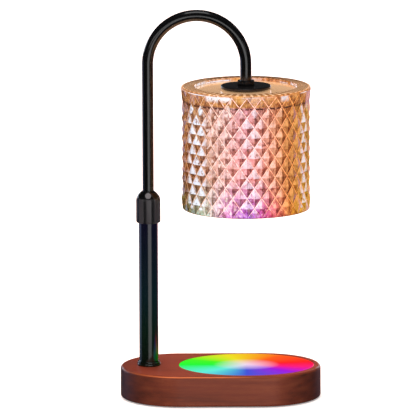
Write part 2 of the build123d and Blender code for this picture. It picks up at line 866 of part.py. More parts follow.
with BuildPart() as bulb_pins:
    with BuildSketch(level(lamp_x, bulb_top)):
        with GridLocations(pin_spacing, 0, 2, 1):
            Circle(pin_diameter / 2)
    extrude(amount=pin_length)
    with BuildSketch(level(lamp_x, bulb_top + pin_length)):
        with GridLocations(pin_spacing, 0, 2, 1):
            Circle(pin_head_diameter / 2)
    extrude(amount=-pin_head_height)

with BuildPart() as bulb_reflector:
    belly_radius = reflector_belly_diameter / 2
    belly_z = reflector_top - reflector_belly_drop
    rim_top = reflector_bottom + reflector_rim_height
    cup_radius = reflector_diameter / 2
    stem_radius = bulb_base_diameter / 2
    throat_radius = reflector_throat_diameter / 2
    with BuildSketch(upright(lamp_x)):
        with BuildLine():
            Line((throat_radius, reflector_top), (stem_radius, reflector_top))
            ThreePointArc((stem_radius, reflector_top), (belly_radius, belly_z), (cup_radius, rim_top))
            Polyline(
                (cup_radius, rim_top),
                (cup_radius, reflector_bottom),
                (cup_radius - reflector_wall, reflector_bottom),
                (cup_radius - reflector_wall, rim_top),
            )
            ThreePointArc(
                (cup_radius - reflector_wall, rim_top),
                (belly_radius - reflector_wall, belly_z - reflector_wall / 2),
                (stem_radius - reflector_wall, reflector_top - reflector_wall),
            )
            Polyline(
                (stem_radius - reflector_wall, reflector_top - reflector_wall),
                (throat_radius, reflector_top - reflector_wall),
                (throat_radius, reflector_top),
            )
        make_face()
    revolve(axis=vertical(lamp_x))

with BuildPart() as bulb_lens:
    with BuildSketch(level(lamp_x, reflector_bottom)):
        Circle(cup_radius - reflector_wall - fit_gap)
    extrude(amount=lens_thickness)

with BuildPart() as bulb_capsule:
    with BuildSketch(level(lamp_x, reflector_top)):
        Circle(capsule_diameter / 2)
    extrude(amount=-capsule_length)
    fillet(bulb_capsule.edges().group_by(Axis.Z)[0], capsule_tip_radius)

pieces = {
    "base_body": base_body,
    "bottom_cover": bottom_cover,
    "cover_screws": cover_screws,
    "rubber_feet": rubber_feet,
    "counterweight": counterweight,
    "weight_screws": weight_screws,
    "light_plate": light_plate,
    "led_board": led_board,
    "leds": leds,
    "board_standoffs": board_standoffs,
    "board_screws": board_screws,
    "control_board": control_board,
    "control_pillars": control_pillars,
    "control_parts": control_parts,
    "cable_gland": cable_gland,
    "lower_tube": lower_tube,
    "foot_ring": foot_ring,
    "post_washer": post_washer,
    "post_nut": post_nut,
    "collet": collet,
    "lock_collar": lock_collar,
    "lock_button": lock_button,
    "button_spring": button_spring,
    "neck": neck,
    "neck_glide": neck_glide,
    "glide_clips": glide_clips,
    "neck_nut": neck_nut,
    "cap_disc": cap_disc,
    "top_gasket": top_gasket,
    "glass_shade": glass_shade,
    "lower_gasket": lower_gasket,
    "clamp_washer": clamp_washer,
    "clamp_nut": clamp_nut,
    "holder_cap": holder_cap,
    "lamp_holder": lamp_holder,
    "holder_screws": holder_screws,
    "holder_contacts": holder_contacts,
    "bulb_base": bulb_base,
    "bulb_pins": bulb_pins,
    "bulb_reflector": bulb_reflector,
    "bulb_lens": bulb_lens,
    "bulb_capsule": bulb_capsule,
}

os.makedirs("parts", exist_ok=True)
for node, piece in pieces.items():
    piece.part.label = node
    export_step(piece.part, f"parts/{node}.step")
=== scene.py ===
from math import atan2, cos, degrees, hypot, pi, radians, sin

import bmesh
import bpy
from mathutils import Matrix, Vector


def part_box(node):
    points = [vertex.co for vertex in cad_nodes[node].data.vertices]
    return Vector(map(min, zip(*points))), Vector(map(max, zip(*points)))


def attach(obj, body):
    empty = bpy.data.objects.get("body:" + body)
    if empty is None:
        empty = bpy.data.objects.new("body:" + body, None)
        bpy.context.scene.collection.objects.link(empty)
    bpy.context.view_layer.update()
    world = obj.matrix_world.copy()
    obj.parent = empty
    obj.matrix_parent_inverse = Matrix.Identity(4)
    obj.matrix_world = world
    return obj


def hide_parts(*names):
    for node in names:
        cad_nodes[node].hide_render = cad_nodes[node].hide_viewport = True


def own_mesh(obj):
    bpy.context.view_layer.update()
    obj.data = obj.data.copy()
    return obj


bl_info = {
    "name": "Candle Warmer Lamp",
    "version": (1, 0, 0),
    "blender": (4, 5, 0),
    "location": "3D View > Sidebar > Lamp",
    "description": "Finishes a candle warmer lamp: wooden base, lit plate, black post and cut-glass shade",
    "category": "Object",
}

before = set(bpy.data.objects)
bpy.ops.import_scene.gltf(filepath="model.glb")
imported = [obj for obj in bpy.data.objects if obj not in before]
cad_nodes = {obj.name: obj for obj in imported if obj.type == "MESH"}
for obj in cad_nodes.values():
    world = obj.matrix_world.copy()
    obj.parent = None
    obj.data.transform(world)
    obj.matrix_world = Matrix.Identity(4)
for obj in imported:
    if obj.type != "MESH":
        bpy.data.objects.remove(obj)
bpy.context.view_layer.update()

MM = 0.001


def linear(hex_colour):
    """An sRGB hex colour such as #804020 as linear red, green, blue and alpha."""
    channels = []
    for start in (1, 3, 5):
        value = int(hex_colour[start:start + 2], 16) / 255
        channels.append(value / 12.92 if value <= 0.04045 else ((value + 0.055) / 1.055) ** 2.4)
    return (*channels, 1.0)


def length(title, description, default):
    """A size in metres that the panel shows."""
    return bpy.props.FloatProperty(
        name=title, description=description, default=default, min=0.0, subtype="DISTANCE", unit="LENGTH"
    )


def colour(title, description, hex_colour):
    """A colour that the panel shows."""
    return bpy.props.FloatVectorProperty(
        name=title, description=description, default=linear(hex_colour), size=4, subtype="COLOR",
        min=0.0, max=1.0,
    )


# ---------------------------------------------------------------- places, read from the frame

def low(node):
    """A node's lowest corner."""
    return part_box(node)[0]


def high(node):
    """A node's highest corner."""
    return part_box(node)[1]


def middle(node):
    """The centre of a node's box."""
    return (low(node) + high(node)) / 2


def half_width(node):
    """Half of a node's size along X, which is the radius of a turned piece."""
    return (high(node).x - low(node).x) / 2


def corners(node, inset):
    """The four places (x, y) that lie inset from the corners of a node's box."""
    return [
        (x, y) for x in (low(node).x + inset, high(node).x - inset)
        for y in (low(node).y + inset, high(node).y - inset)
    ]


# The vertical axes of the post and the lamp
post_x = middle("lower_tube").x
lamp_x = middle("bulb_lens").x
# Radii of the 3 mm screws
screw_head = 2.85 * MM
screw_shank = 1.45 * MM


class LampSizes(bpy.types.PropertyGroup):
    """Sizes of the lamp's fine detail, in metres."""

    grain_width: length("Grain width", "Width of the wood's growth rings", 5.0 * MM)
    pore_width: length("Pore width", "Width of the wood's pores, as coarse as they need to show", 0.5 * MM)
    groove_strip: length("Groove strip", "Half the width of the strip at the bottom of each cut", 0.34 * MM)
    ridge_strip: length("Ridge strip", "Half the width of the diamonds' fire-polished ridges", 0.16 * MM)
    recess_round: length("Recess round", "Radius of the edges of the recess in the glass", 0.6 * MM)
    flute_depth: length("Flute depth", "Depth of the grooves in the collar", 0.55 * MM)
    edge_round: length("Edge round", "Radius of the nuts' edges", 0.25 * MM)


class LampColours(bpy.types.PropertyGroup):
    """Colours of the lamp's finishes."""

    wood_dark: colour("Wood, dark", "Late wood and pores under the stain", "#451807")
    wood_mid: colour("Wood, middle", "Most of the stained wood", "#68280E")
    wood_light: colour("Wood, light", "Early wood under the stain", "#7E3C1A")
    # Colour of the painted highlight along the rounded top edge
    wood_edge_highlight: colour("Wood, edge", "Stain rubbed thin on the rounded edge", "#D47038")
    enamel: colour("Enamel", "Gloss black on the tubes", "#040405")
    satin: colour("Satin black", "Powder coat on the disc and nut", "#0C0C0D")
    # The lands' dark grey, a painted sheen
    plastic: colour("Collar plastic", "Moulded black plastic of the collar", "#2C2B2F")
    button: colour("Button plastic", "Moulded grey plastic of the lock button", "#66666A")


# ---------------------------------------------------------------- modelling, by Blender's operators

# Points closer than this are merged to one
weld = 0.001 * MM
# A cutting tool reaches this far past what it cuts
past = 0.3 * MM
# Turns of a piece that was modelled upright
facing_front = (pi / 2, 0, 0)
facing_back = (-pi / 2, 0, 0)


def to_object_mode():
    """Back to object mode, with nothing selected."""
    if bpy.context.object and bpy.context.object.mode != "OBJECT":
        bpy.ops.object.mode_set(mode="OBJECT")
    bpy.ops.object.select_all(action="DESELECT")


def choose(piece):
    """Selects one piece alone, in object mode."""
    to_object_mode()
    piece.select_set(True)
    bpy.context.view_layer.objects.active = piece


def start_piece(name, primitive, **settings):
    """Adds a primitive with nothing else selected, with its place in its mesh, and goes to edit mode."""
    to_object_mode()
    primitive(**settings)
    piece = bpy.context.object
    piece.name = name
    piece.data.name = name
    bpy.ops.object.transform_apply(location=True, rotation=True, scale=True)
    bpy.ops.object.mode_set(mode="EDIT")
    bpy.ops.mesh.select_all(action="SELECT")
    return piece


def begin_edit(piece):
    """Edit mode on one piece, with nothing of it selected."""
    choose(piece)
    bpy.ops.object.mode_set(mode="EDIT")
    bpy.ops.mesh.select_all(action="DESELECT")


def end_edit():
    """Back to object mode."""
    bpy.ops.object.mode_set(mode="OBJECT")


def pick(piece, kind, test):
    """In edit mode, selects the vertices, edges or faces that pass a test, and nothing else."""
    bpy.ops.mesh.select_mode(type=kind)
    bpy.ops.mesh.select_all(action="DESELECT")
    mesh = bmesh.from_edit_mesh(piece.data)
    elements = {"VERT": mesh.verts, "EDGE": mesh.edges, "FACE": mesh.faces}[kind]
    chosen = [element for element in elements if test(element)]
    for element in chosen:
        element.select_set(True)
    mesh.select_flush_mode()
    bmesh.update_edit_mesh(piece.data)
    return len(chosen)


def widen(x, z, factor):
    """Scales what is selected about the vertical axis at x, at a height z."""
    bpy.ops.transform.resize(value=(factor, factor, 1), center_override=(x, 0, z))


def extrude_ring(x, z, next_z, factor):
    """Extrudes the selected ring from one height to the next, and scales it about the axis at x."""
    bpy.ops.mesh.extrude_edges_move(TRANSFORM_OT_translate={"value": (0, 0, next_z - z)})
    widen(x, next_z, factor)


def turned(name, x, outline, segments, ends="joined", turn=0.0):
    """A turned piece on the vertical axis at x. A circle is extruded and scaled from one
    (radius, height) of the outline to the next. Its ends are joined, flat or open."""
    radius, z = outline[0]
    piece = start_piece(
        name, bpy.ops.mesh.primitive_circle_add, vertices=segments, radius=radius,
        location=(x, 0, z), rotation=(0, 0, turn),
    )
    bpy.ops.mesh.select_mode(type="EDGE")
    if ends == "flat":
        bpy.ops.mesh.edge_face_add()
        pick(piece, "EDGE", lambda edge: True)
    for next_radius, next_z in outline[1:] + (outline[:1] if ends == "joined" else []):
        extrude_ring(x, z, next_z, next_radius / radius)
        radius = next_radius
        z = next_z
    if ends == "flat":
        bpy.ops.mesh.edge_face_add()
    bpy.ops.mesh.select_all(action="SELECT")
    bpy.ops.mesh.remove_doubles(threshold=weld)
    if ends != "open":
        bpy.ops.mesh.normals_make_consistent(inside=False)
    end_edit()
    return piece


def arc(centre_radius, centre_z, radius, start, end, steps):
    """Points of (radius, height) along an arc, its ends at these angles in degrees."""
    points = []
    for number in range(steps + 1):
        angle = radians(start + (end - start) * number / steps)
        points.append((centre_radius + radius * cos(angle), centre_z + radius * sin(angle)))
    return points


def round_rings(piece, x, rings, width, segments=3):
    """Rounds the edges of a turned piece that lie on these (radius, height) rings."""
    slack = 0.02 * MM
    begin_edit(piece)
    for radius, z in rings:
        def on_ring(edge):
            return all(
                abs(hypot(v.co.x - x, v.co.y) - radius) < slack and abs(v.co.z - z) < slack
                for v in edge.verts
            )

        if not pick(piece, "EDGE", on_ring):
            raise RuntimeError(f"{piece.name} has no edge at radius {radius}, height {z}")
        bpy.ops.mesh.bevel(offset=width, segments=segments, affect="EDGES", clamp_overlap=True)
    end_edit()


def round_edges(piece, width, angle=30, segments=2):
    """Rounds every edge of a piece that is sharper than the angle, in degrees."""
    modifier = piece.modifiers.new("round", "BEVEL")
    modifier.width = width
    modifier.segments = segments
    modifier.limit_method = "ANGLE"
    modifier.angle_limit = radians(angle)
    modifier.harden_normals = False
    choose(piece)
    bpy.ops.object.modifier_apply(modifier=modifier.name)


def boolean(piece, tool, operation):
    """Cuts a tool out of a piece, joins it on or keeps what both share, and removes the tool."""
    modifier = piece.modifiers.new(operation.lower(), "BOOLEAN")
    modifier.operation = operation
    modifier.solver = "EXACT"
    modifier.object = tool
    choose(piece)
    bpy.ops.object.modifier_apply(modifier=modifier.name)
    bpy.data.objects.remove(tool)


def set_down(piece, location, rotation=(0, 0, 0)):
    """Turns and moves a piece that was modelled about the origin, and keeps its place in its mesh."""
    piece.rotation_euler = rotation
    piece.location = location
    choose(piece)
    bpy.ops.object.transform_apply(location=True, rotation=True, scale=True)


def joined(piece, others):
    """Joins others to a piece, as one piece."""
    choose(piece)
    for other in others:
        other.select_set(True)
    bpy.ops.object.join()
    return piece


def repeated(piece, places):
    """One piece copied to each place, given as x, y and z from where it is, and joined as one set."""
    copies = [piece]
    while len(copies) < len(places):
        choose(piece)
        bpy.ops.object.duplicate(linked=False)
        copies.append(bpy.context.object)
    for copy, spot in zip(copies, places):
        set_down(copy, spot)
    return joined(piece, copies[1:])


def smooth(piece, angle=30):
    """Smooth shading, with edges sharper than the angle, in degrees, kept crisp."""
    choose(piece)
    bpy.ops.object.shade_smooth_by_angle(angle=radians(angle))


def place(piece, body, slot, finish, *replaced):
    """Gives a finished piece its finish and its body, in place of CAD nodes. Its slot is not used."""
    piece.data.materials.clear()
    piece.data.materials.append(finishes[finish])
    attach(piece, body)
    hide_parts(*replaced)


def flat_ring(node, x, bore, rounding, slot, finish, body):
    """A washer, gasket or disc in place of a CAD node, its two outer edges rounded."""
    outer = half_width(node)
    bottom = low(node).z
    top = high(node).z
    outline = [(bore, bottom)]
    outline += arc(outer - rounding, bottom + rounding, rounding, -90, 0, 5)
    outline += arc(outer - rounding, top - rounding, rounding, 0, 90, 5)
    outline.append((bore, top))
    piece = turned(node + "_ring", x, outline, 96)
    smooth(piece)
    place(piece, body, slot, finish, node)


def hex_nut(node, bore, rounding, slot, finish, body):
    """A hexagonal nut in place of a CAD node, a corner to the front and its upper corners turned off."""
    x = middle(node).x
    bottom = low(node).z
    top = high(node).z
    corner = (high(node).y - low(node).y) / 2
    flats = corner * cos(radians(30))
    chamfer = 0.7 * MM
    nut = start_piece(
        node + "_hexagon", bpy.ops.mesh.primitive_cylinder_add, vertices=6, radius=corner,
        depth=top - bottom, location=(x, 0, (top + bottom) / 2),
    )
    end_edit()
    slope = (corner - flats) / chamfer
    outline = [
        (corner + past, bottom - past), (corner + past, top - chamfer - past / slope),
        (flats - past * slope, top + past),
    ]
    boolean(nut, turned("turned_corners", x, outline, 96, ends="flat"), "INTERSECT")
    hole = [(bore, bottom - past), (bore, top + past)]
    boolean(nut, turned("thread_hole", x, hole, 48, ends="flat"), "DIFFERENCE")
    round_edges(nut, rounding)
    smooth(nut)
    place(nut, body, slot, finish, node)


def countersunk_screws(node, name, places):
    """Countersunk screws of 3 mm in place of a CAD node, heads down, each with a cross in its head."""
    bottom = low(node).z
    tip = high(node).z - bottom
    land = 0.2 * MM
    point_length = 1.2 * MM
    point_radius = 0.3 * MM
    outline = [
        (screw_head, 0), (screw_head, land), (screw_shank, screw_head - screw_shank),
        (screw_shank, tip - point_length), (point_radius, tip),
    ]
    screw = turned(name, 0, outline, 32, ends="flat")
    cross_span = 3.4 * MM
    cross_width = 0.75 * MM
    cross_depth = 1.1 * MM
    for turn in (0, pi / 2):
        blade = start_piece(
            "cross", bpy.ops.mesh.primitive_cube_add, size=1.0, rotation=(0, 0, turn),
            scale=(cross_span, cross_width, 2 * cross_depth),
        )
        end_edit()
        boolean(screw, blade, "DIFFERENCE")
    repeated(screw, [(x, y, bottom) for x, y in places])
    smooth(screw)
    place(screw, "stand", "zinc_steel", "zinc", node)


# ---------------------------------------------------------------- materials

def add_node(tree, kind, *inputs, marks=(), **named):
    """Adds a node. Its inputs are given in the order that it shows them, or by name, with a capital
    and underscores for spaces. Each is a value, an sRGB hex colour, a node's output, or a node for its
    first output. Other names are settings, and marks are a ramp's positions and colours."""
    node = tree.nodes.new("ShaderNode" + kind)
    for key, value in named.items():
        if key.islower():
            setattr(node, key, value)
    sources = list(zip([socket for socket in node.inputs if socket.enabled], inputs))
    sources += [
        (node.inputs[key.replace("_", " ")], value) for key, value in named.items() if not key.islower()
    ]
    for socket, source in sources:
        if isinstance(source, bpy.types.Node):
            source = next(output for output in source.outputs if output.enabled)
        if isinstance(source, bpy.types.NodeSocket):
            tree.links.new(source, socket)
        else:
            socket.default_value = linear(source) if isinstance(source, str) else source
    if marks:
        elements = node.color_ramp.elements
        while len(elements) < len(marks):
            elements.new(0.5)
        for element, (position, tint) in zip(elements, marks):
            element.position = position
            element.color = linear(tint) if isinstance(tint, str) else tint
    return node


def new_material(name):
    """An empty material and its node tree."""
    material = bpy.data.materials.new(name)
    material.use_nodes = True
    material.node_tree.nodes.clear()
    return material, material.node_tree


def on_object(tree, size, centre=(0, 0, 0)):
    """Where a pattern lies on the object: coordinates from a centre, over its size along each axis."""
    position = add_node(tree, "TexCoord").outputs["Object"]
    return add_node(tree, "Mapping", position, vector_type="TEXTURE", Location=centre, Scale=size)


def grainy(name, grain, depth, base, **finish):
    """A material with an even fine relief: grain is its real width and depth its height in metres."""
    material, tree = new_material(name)
    spot = on_object(tree, (grain, grain, grain))
    fine = add_node(tree, "TexNoise", spot, Scale=1.0, Detail=3.0, Roughness=0.6)
    relief = add_node(tree, "Bump", Height=fine, Distance=depth, Strength=1.0)
    broad = add_node(tree, "TexNoise", spot, Scale=0.12, Detail=2.0)
    darker = (*(part * 0.82 for part in base[:3]), 1.0)
    tint = add_node(tree, "ValToRGB", broad, marks=((0.35, darker), (0.65, base)))
    shader = add_node(tree, "BsdfPrincipled", Base_Color=tint, Normal=relief, **finish)
    add_node(tree, "OutputMaterial", shader)
    return material


def metal(name, hex_colour, roughness, grain, depth):
    """A bare or plated metal with a fine worked surface."""
    return grainy(name, grain, depth, linear(hex_colour), Metallic=1.0, Roughness=roughness)


def stained_wood(sizes, colours):
    """Beech, stained red-brown, smoothed with sandpaper and lacquered satin: growth rings and short dark
    pores run along the base, and the lacquer adds a soft sheen over them. The top and its edge carry
    painted light."""
    material, tree = new_material("stained_beech")
    ring = sizes.grain_width
    ring_spot = on_object(tree, (22 * ring, 2.4 * ring, ring))
    rings = add_node(tree, "TexNoise", ring_spot, Scale=1.0, Detail=3.0, Roughness=0.5, Distortion=0.2)
    pore = sizes.pore_width
    pore_spot = on_object(tree, (18 * pore, 1.6 * pore, pore))
    pores = add_node(tree, "TexNoise", pore_spot, Scale=1.0, Detail=2.0, Roughness=0.7)
    grain = add_node(tree, "Mix", 0.3, rings, pores, data_type="FLOAT")
    figure = add_node(
        tree, "ValToRGB", grain,
        marks=((0.25, colours.wood_dark), (0.5, colours.wood_mid), (0.8, colours.wood_light)),
    )

    # The rounded ends are darker, partly end grain that takes more stain and partly painted shade. The top
    # is painted lighter as painted light from above, and darker towards the post's end as a painted shadow
    facing = add_node(tree, "SeparateXYZ", add_node(tree, "TexCoord").outputs["Normal"])
    endways = add_node(tree, "Math", facing.outputs["X"], operation="ABSOLUTE")
    end_grain_and_painted_shade = add_node(tree, "ValToRGB", endways, marks=((0.2, "#FFFFFF"), (0.95, "#8C7C74")))
    stain = add_node(tree, "Mix", 1.0, figure, end_grain_and_painted_shade, data_type="RGBA", blend_type="MULTIPLY")
    base_end = low("base_body").x
    along = add_node(tree, "SeparateXYZ", on_object(tree, (-2 * base_end, 1, 1), (base_end, 0, 0)))
    painted_top_light = add_node(
        tree, "ValToRGB", along, marks=((0.0, "#582818"), (0.12, "#90402C"), (0.3, "#A85038"))
    )
    upward = facing.outputs["Z"]
    painted_top_light_mask = add_node(tree, "ValToRGB", upward, marks=((0.92, "#000000"), (0.98, "#A0A0A0")))
    stain = add_node(tree, "Mix", painted_top_light_mask, stain, painted_top_light, data_type="RGBA")

    # A painted highlight where the top is rounded over, most of all towards the post's end
    rounded = add_node(
        tree, "ValToRGB", upward,
        marks=((0.4, "#000000"), (0.58, "#FFFFFF"), (0.74, "#FFFFFF"), (0.88, "#000000")),
    )
    painted_edge_highlight = add_node(
        tree, "ValToRGB", along,
        marks=((0.0, "#202020"), (0.14, "#A0A0A0"), (0.24, "#E8E8E8"), (0.5, "#E8E8E8"), (0.68, "#404040")),
    )
    painted_edge_highlight = add_node(tree, "Mix", 1.0, rounded, painted_edge_highlight, data_type="RGBA", blend_type="MULTIPLY")
    tint = add_node(tree, "Mix", painted_edge_highlight, stain, colours.wood_edge_highlight, data_type="RGBA")
    relief = add_node(tree, "Bump", Height=grain, Distance=0.02 * MM, Strength=1.0)
    shader = add_node(
        tree, "BsdfPrincipled", Base_Color=tint, Normal=relief, Roughness=0.5, Coat_Weight=0.2,
        Coat_Roughness=0.2, IOR=1.5, Specular_IOR_Level=0.28,
    )
    add_node(tree, "OutputMaterial", shader)
    return material


def black_enamel(colours):
    """Stoved gloss enamel on steel tube: near black, with a clear highlight that the coat's faint
    orange peel breaks up a little."""
    material, tree = new_material("gloss_black_enamel")
    peel_spot = on_object(tree, (1.6 * MM, 1.6 * MM, 2.2 * MM))
    peel = add_node(tree, "TexNoise", peel_spot, Scale=1.0, Detail=1.0)
    relief = add_node(tree, "Bump", Height=peel, Distance=0.012 * MM, Strength=1.0)

    # Painted reflection of the lit plate, as a faint emission up the tube: green by the plate, then teal,
    # and faint violet up to the collar
    up_tube = on_object(tree, (1, 1, high("lower_tube").z))
    rise = add_node(tree, "SeparateXYZ", up_tube).outputs["Z"]
    painted_plate_reflection = add_node(
        tree, "ValToRGB", rise,
        marks=((0.18, "#000600"), (0.35, "#001408"), (0.55, "#00161A"), (0.8, "#020A18"),
               (0.97, "#040018"), (1.0, "#000000")),
    )
    shader = add_node(
        tree, "BsdfPrincipled", Base_Color=colours.enamel, Normal=relief, Roughness=0.16,
        Coat_Weight=0.3, Coat_Roughness=0.06, IOR=1.5, Emission_Color=painted_plate_reflection, Emission_Strength=1.0,
    )
    add_node(tree, "OutputMaterial", shader)
    return material


def about_lamp(tree, radius, height):
    """Object coordinates about the bulb's axis, from the shade's foot up, over a radius and height."""
    return on_object(tree, (radius, radius, height), (lamp_x, 0, low("glass_shade").z))


def glass_tint_and_painted_glow(tree, across, rise):
    """The glass's colours from the left edge to the right: the wall, with a painted glow that is salmon
    pink in the middle and golden brown towards the edges, the thick crown over it, and the foot, painted
    with the coloured plate's light."""
    wall = add_node(
        tree, "ValToRGB", across,
        marks=((0.0, "#B4803C"), (0.12, "#C49A66"), (0.3, "#DCC0BA"), (0.5, "#E0A0AC"),
               (0.66, "#DCA490"), (0.78, "#C8905A"), (1.0, "#A88018")),
    )
    crown = add_node(
        tree, "ValToRGB", across,
        marks=((0.0, "#B07C40"), (0.4, "#CC9C62"), (0.75, "#C48648"), (1.0, "#B07830")),
    )
    foot = add_node(
        tree, "ValToRGB", across,
        marks=((0.04, "#708048"), (0.2, "#A4D0C4"), (0.34, "#C88CD4"), (0.52, "#8C24CC"),
               (0.7, "#C85078"), (0.85, "#C08828"), (1.0, "#C0A41C")),
    )
    near_foot = add_node(tree, "ValToRGB", rise, marks=((0.0, "#FFFFFF"), (0.32, "#000000")))
    in_crown = add_node(tree, "ValToRGB", rise, marks=((0.9, "#000000"), (0.905, "#FFFFFF")))
    tint = add_node(tree, "Mix", near_foot, wall, foot, data_type="RGBA")
    return add_node(tree, "Mix", in_crown, tint, crown, data_type="RGBA")


def broken_light(tree):
    """Splinters, which are a facet's light broken up by the glass, each with three chances of its own,
    and broader flecks, about nought."""
    splinter_spot = on_object(tree, (2.0 * MM, 2.0 * MM, 3.4 * MM))
    splinters = add_node(tree, "TexVoronoi", splinter_spot, feature="F1", Scale=1.0)
    fleck_spot = on_object(tree, (3.2 * MM, 3.2 * MM, 4.2 * MM))
    fleck = add_node(tree, "TexNoise", fleck_spot, Scale=1.0, Detail=3.0, Roughness=0.7)
    fleck = add_node(tree, "Math", fleck, 0.5, operation="SUBTRACT")
    fleck = add_node(tree, "Math", fleck, 1.3, operation="MULTIPLY")
    return add_node(tree, "SeparateColor", splinters.outputs["Color"]), fleck


def painted_facet_shading(tree, around, facing, facet_up, chances, fleck):
    """Painted shading of each facet, by which way it leans: left and up are painted light, right and down
    dark."""
    sideways = add_node(tree, "VectorMath", (0, 0, 1), around, operation="CROSS_PRODUCT")
    sideways = add_node(tree, "VectorMath", sideways, operation="NORMALIZE")
    leaning = add_node(tree, "VectorMath", facing, sideways, operation="DOT_PRODUCT")
    tone = add_node(tree, "Math", leaning, -0.75, 0.52, operation="MULTIPLY_ADD")
    tone = add_node(tree, "Math", facet_up, 0.9, tone, operation="MULTIPLY_ADD")
    splinter = add_node(tree, "Math", chances.outputs["Red"], 0.5, operation="SUBTRACT")
    tone = add_node(tree, "Math", splinter, 0.42, tone, operation="MULTIPLY_ADD")
    return add_node(tree, "Math", tone, fleck, operation="ADD")


def toned(tree, tint, across, tone, chances):
    """A tint with painted shading, darkened and lightened by its tone, with some painted peach splinters of
    light, the lightest facets painted pale, and some painted pale highlight slivers to the left of the
    bulb."""
    shading = add_node(
        tree, "ValToRGB", tone, marks=((0.0, "#582418"), (0.32, "#AC8478"), (0.62, "#FFFFFF"))
    )
    tint = add_node(tree, "Mix", 0.9, tint, shading, data_type="RGBA", blend_type="MULTIPLY")
    peach = add_node(
        tree, "ValToRGB", chances.outputs["Green"], marks=((0.8, "#000000"), (0.86, "#606060"))
    )
    tint = add_node(tree, "Mix", peach, tint, "#F0BC88", data_type="RGBA")
    light_facets = add_node(tree, "ValToRGB", tone, marks=((0.72, "#000000"), (1.0, "#FFFFFF")))
    light_tint = add_node(
        tree, "ValToRGB", across,
        marks=((0.0, "#D8B888"), (0.25, "#F0DCE4"), (0.6, "#F4D8E0"), (0.8, "#ECB070"), (1.0, "#DCA850")),
    )
    tint = add_node(tree, "Mix", light_facets, tint, light_tint, data_type="RGBA")
    sliver_across = add_node(
        tree, "ValToRGB", across,
        marks=((0.15, "#000000"), (0.2, "#D0D0D0"), (0.38, "#D0D0D0"), (0.44, "#505050"),
               (0.62, "#505050"), (0.68, "#000000")),
    )
    slivers = add_node(
        tree, "ValToRGB", chances.outputs["Blue"], marks=((0.13, "#FFFFFF"), (0.15, "#000000"))
    )
    slivers = add_node(
        tree, "Mix", 1.0, slivers, sliver_across, data_type="RGBA", blend_type="MULTIPLY"
    )
    return add_node(tree, "Mix", slivers, tint, "#FFF6F4", data_type="RGBA")


def glints(tree, across, facet_up, fleck):
    """Painted glints: where the soft boxes stand, the upper halves of the diamonds are painted white,
    though not all of them."""
    columns = add_node(
        tree, "ValToRGB", across,
        marks=((0.05, "#000000"), (0.065, "#FFFFFF"), (0.165, "#FFFFFF"), (0.2, "#505050"),
               (0.3, "#101010"), (0.44, "#101010"), (0.5, "#B0B0B0"), (0.58, "#B0B0B0"),
               (0.64, "#000000"), (0.91, "#000000"), (0.93, "#E0E0E0"), (0.96, "#E0E0E0"),
               (0.97, "#000000")),
    )
    upper_half = add_node(tree, "ValToRGB", facet_up, marks=((0.02, "#000000"), (0.04, "#FFFFFF")))
    lit_cells = add_node(tree, "Math", fleck, 0.5, operation="ADD")
    lit_cells = add_node(tree, "ValToRGB", lit_cells, marks=((0.3, "#101010"), (0.5, "#FFFFFF")))
    glint = add_node(tree, "Mix", 1.0, columns, upper_half, data_type="RGBA", blend_type="MULTIPLY")
    return add_node(tree, "Mix", 1.0, glint, lit_cells, data_type="RGBA", blend_type="MULTIPLY")


def crown_painted_highlights(tree, across, rise, tone):
    """Two painted pale highlight patches in the crown, broken up by its darker splinters."""
    patch_across = add_node(
        tree, "ValToRGB", across,
        marks=((0.18, "#000000"), (0.2, "#F0F0F0"), (0.37, "#F0F0F0"), (0.39, "#000000"),
               (0.76, "#000000"), (0.775, "#C0C0C0"), (0.82, "#C0C0C0"), (0.83, "#000000")),
    )
    patch_height = add_node(
        tree, "ValToRGB", rise,
        marks=((0.935, "#000000"), (0.965, "#FFFFFF"), (0.984, "#FFFFFF"), (0.987, "#000000")),
    )
    patch = add_node(
        tree, "Mix", 1.0, patch_across, patch_height, data_type="RGBA", blend_type="MULTIPLY"
    )
    lit_splinters = add_node(tree, "ValToRGB", tone, marks=((0.24, "#000000"), (0.36, "#FFFFFF")))
    return add_node(tree, "Mix", 1.0, patch, lit_splinters, data_type="RGBA", blend_type="MULTIPLY")


def crown_with_painted_hot_spot(tree, tint, across, rise, chances):
    """A tint with a painted hot spot of glow in the crown, and under it a painted dark broken line where
    the cavity's ceiling shows through.
    """
    warm_across = add_node(
        tree, "ValToRGB", across, marks=((0.4, "#000000"), (0.45, "#C0C0C0"), (0.5, "#000000"))
    )
    warm_height = add_node(tree, "ValToRGB", rise, marks=((0.925, "#000000"), (0.96, "#FFFFFF")))
    painted_hot_spot = add_node(
        tree, "Mix", 1.0, warm_across, warm_height, data_type="RGBA", blend_type="MULTIPLY"
    )
    tint = add_node(tree, "Mix", painted_hot_spot, tint, "#FFC860", data_type="RGBA")
    ceiling_line = add_node(
        tree, "ValToRGB", rise,
        marks=((0.883, "#000000"), (0.886, "#FFFFFF"), (0.897, "#FFFFFF"), (0.9, "#000000")),
    )
    dashes = add_node(
        tree, "ValToRGB", chances.outputs["Blue"], marks=((0.3, "#000000"), (0.4, "#FFFFFF"))
    )
    dashed = add_node(tree, "Mix", 1.0, ceiling_line, dashes, data_type="RGBA", blend_type="MULTIPLY")
    return add_node(tree, "Mix", dashed, tint, "#4A2A24", data_type="RGBA")


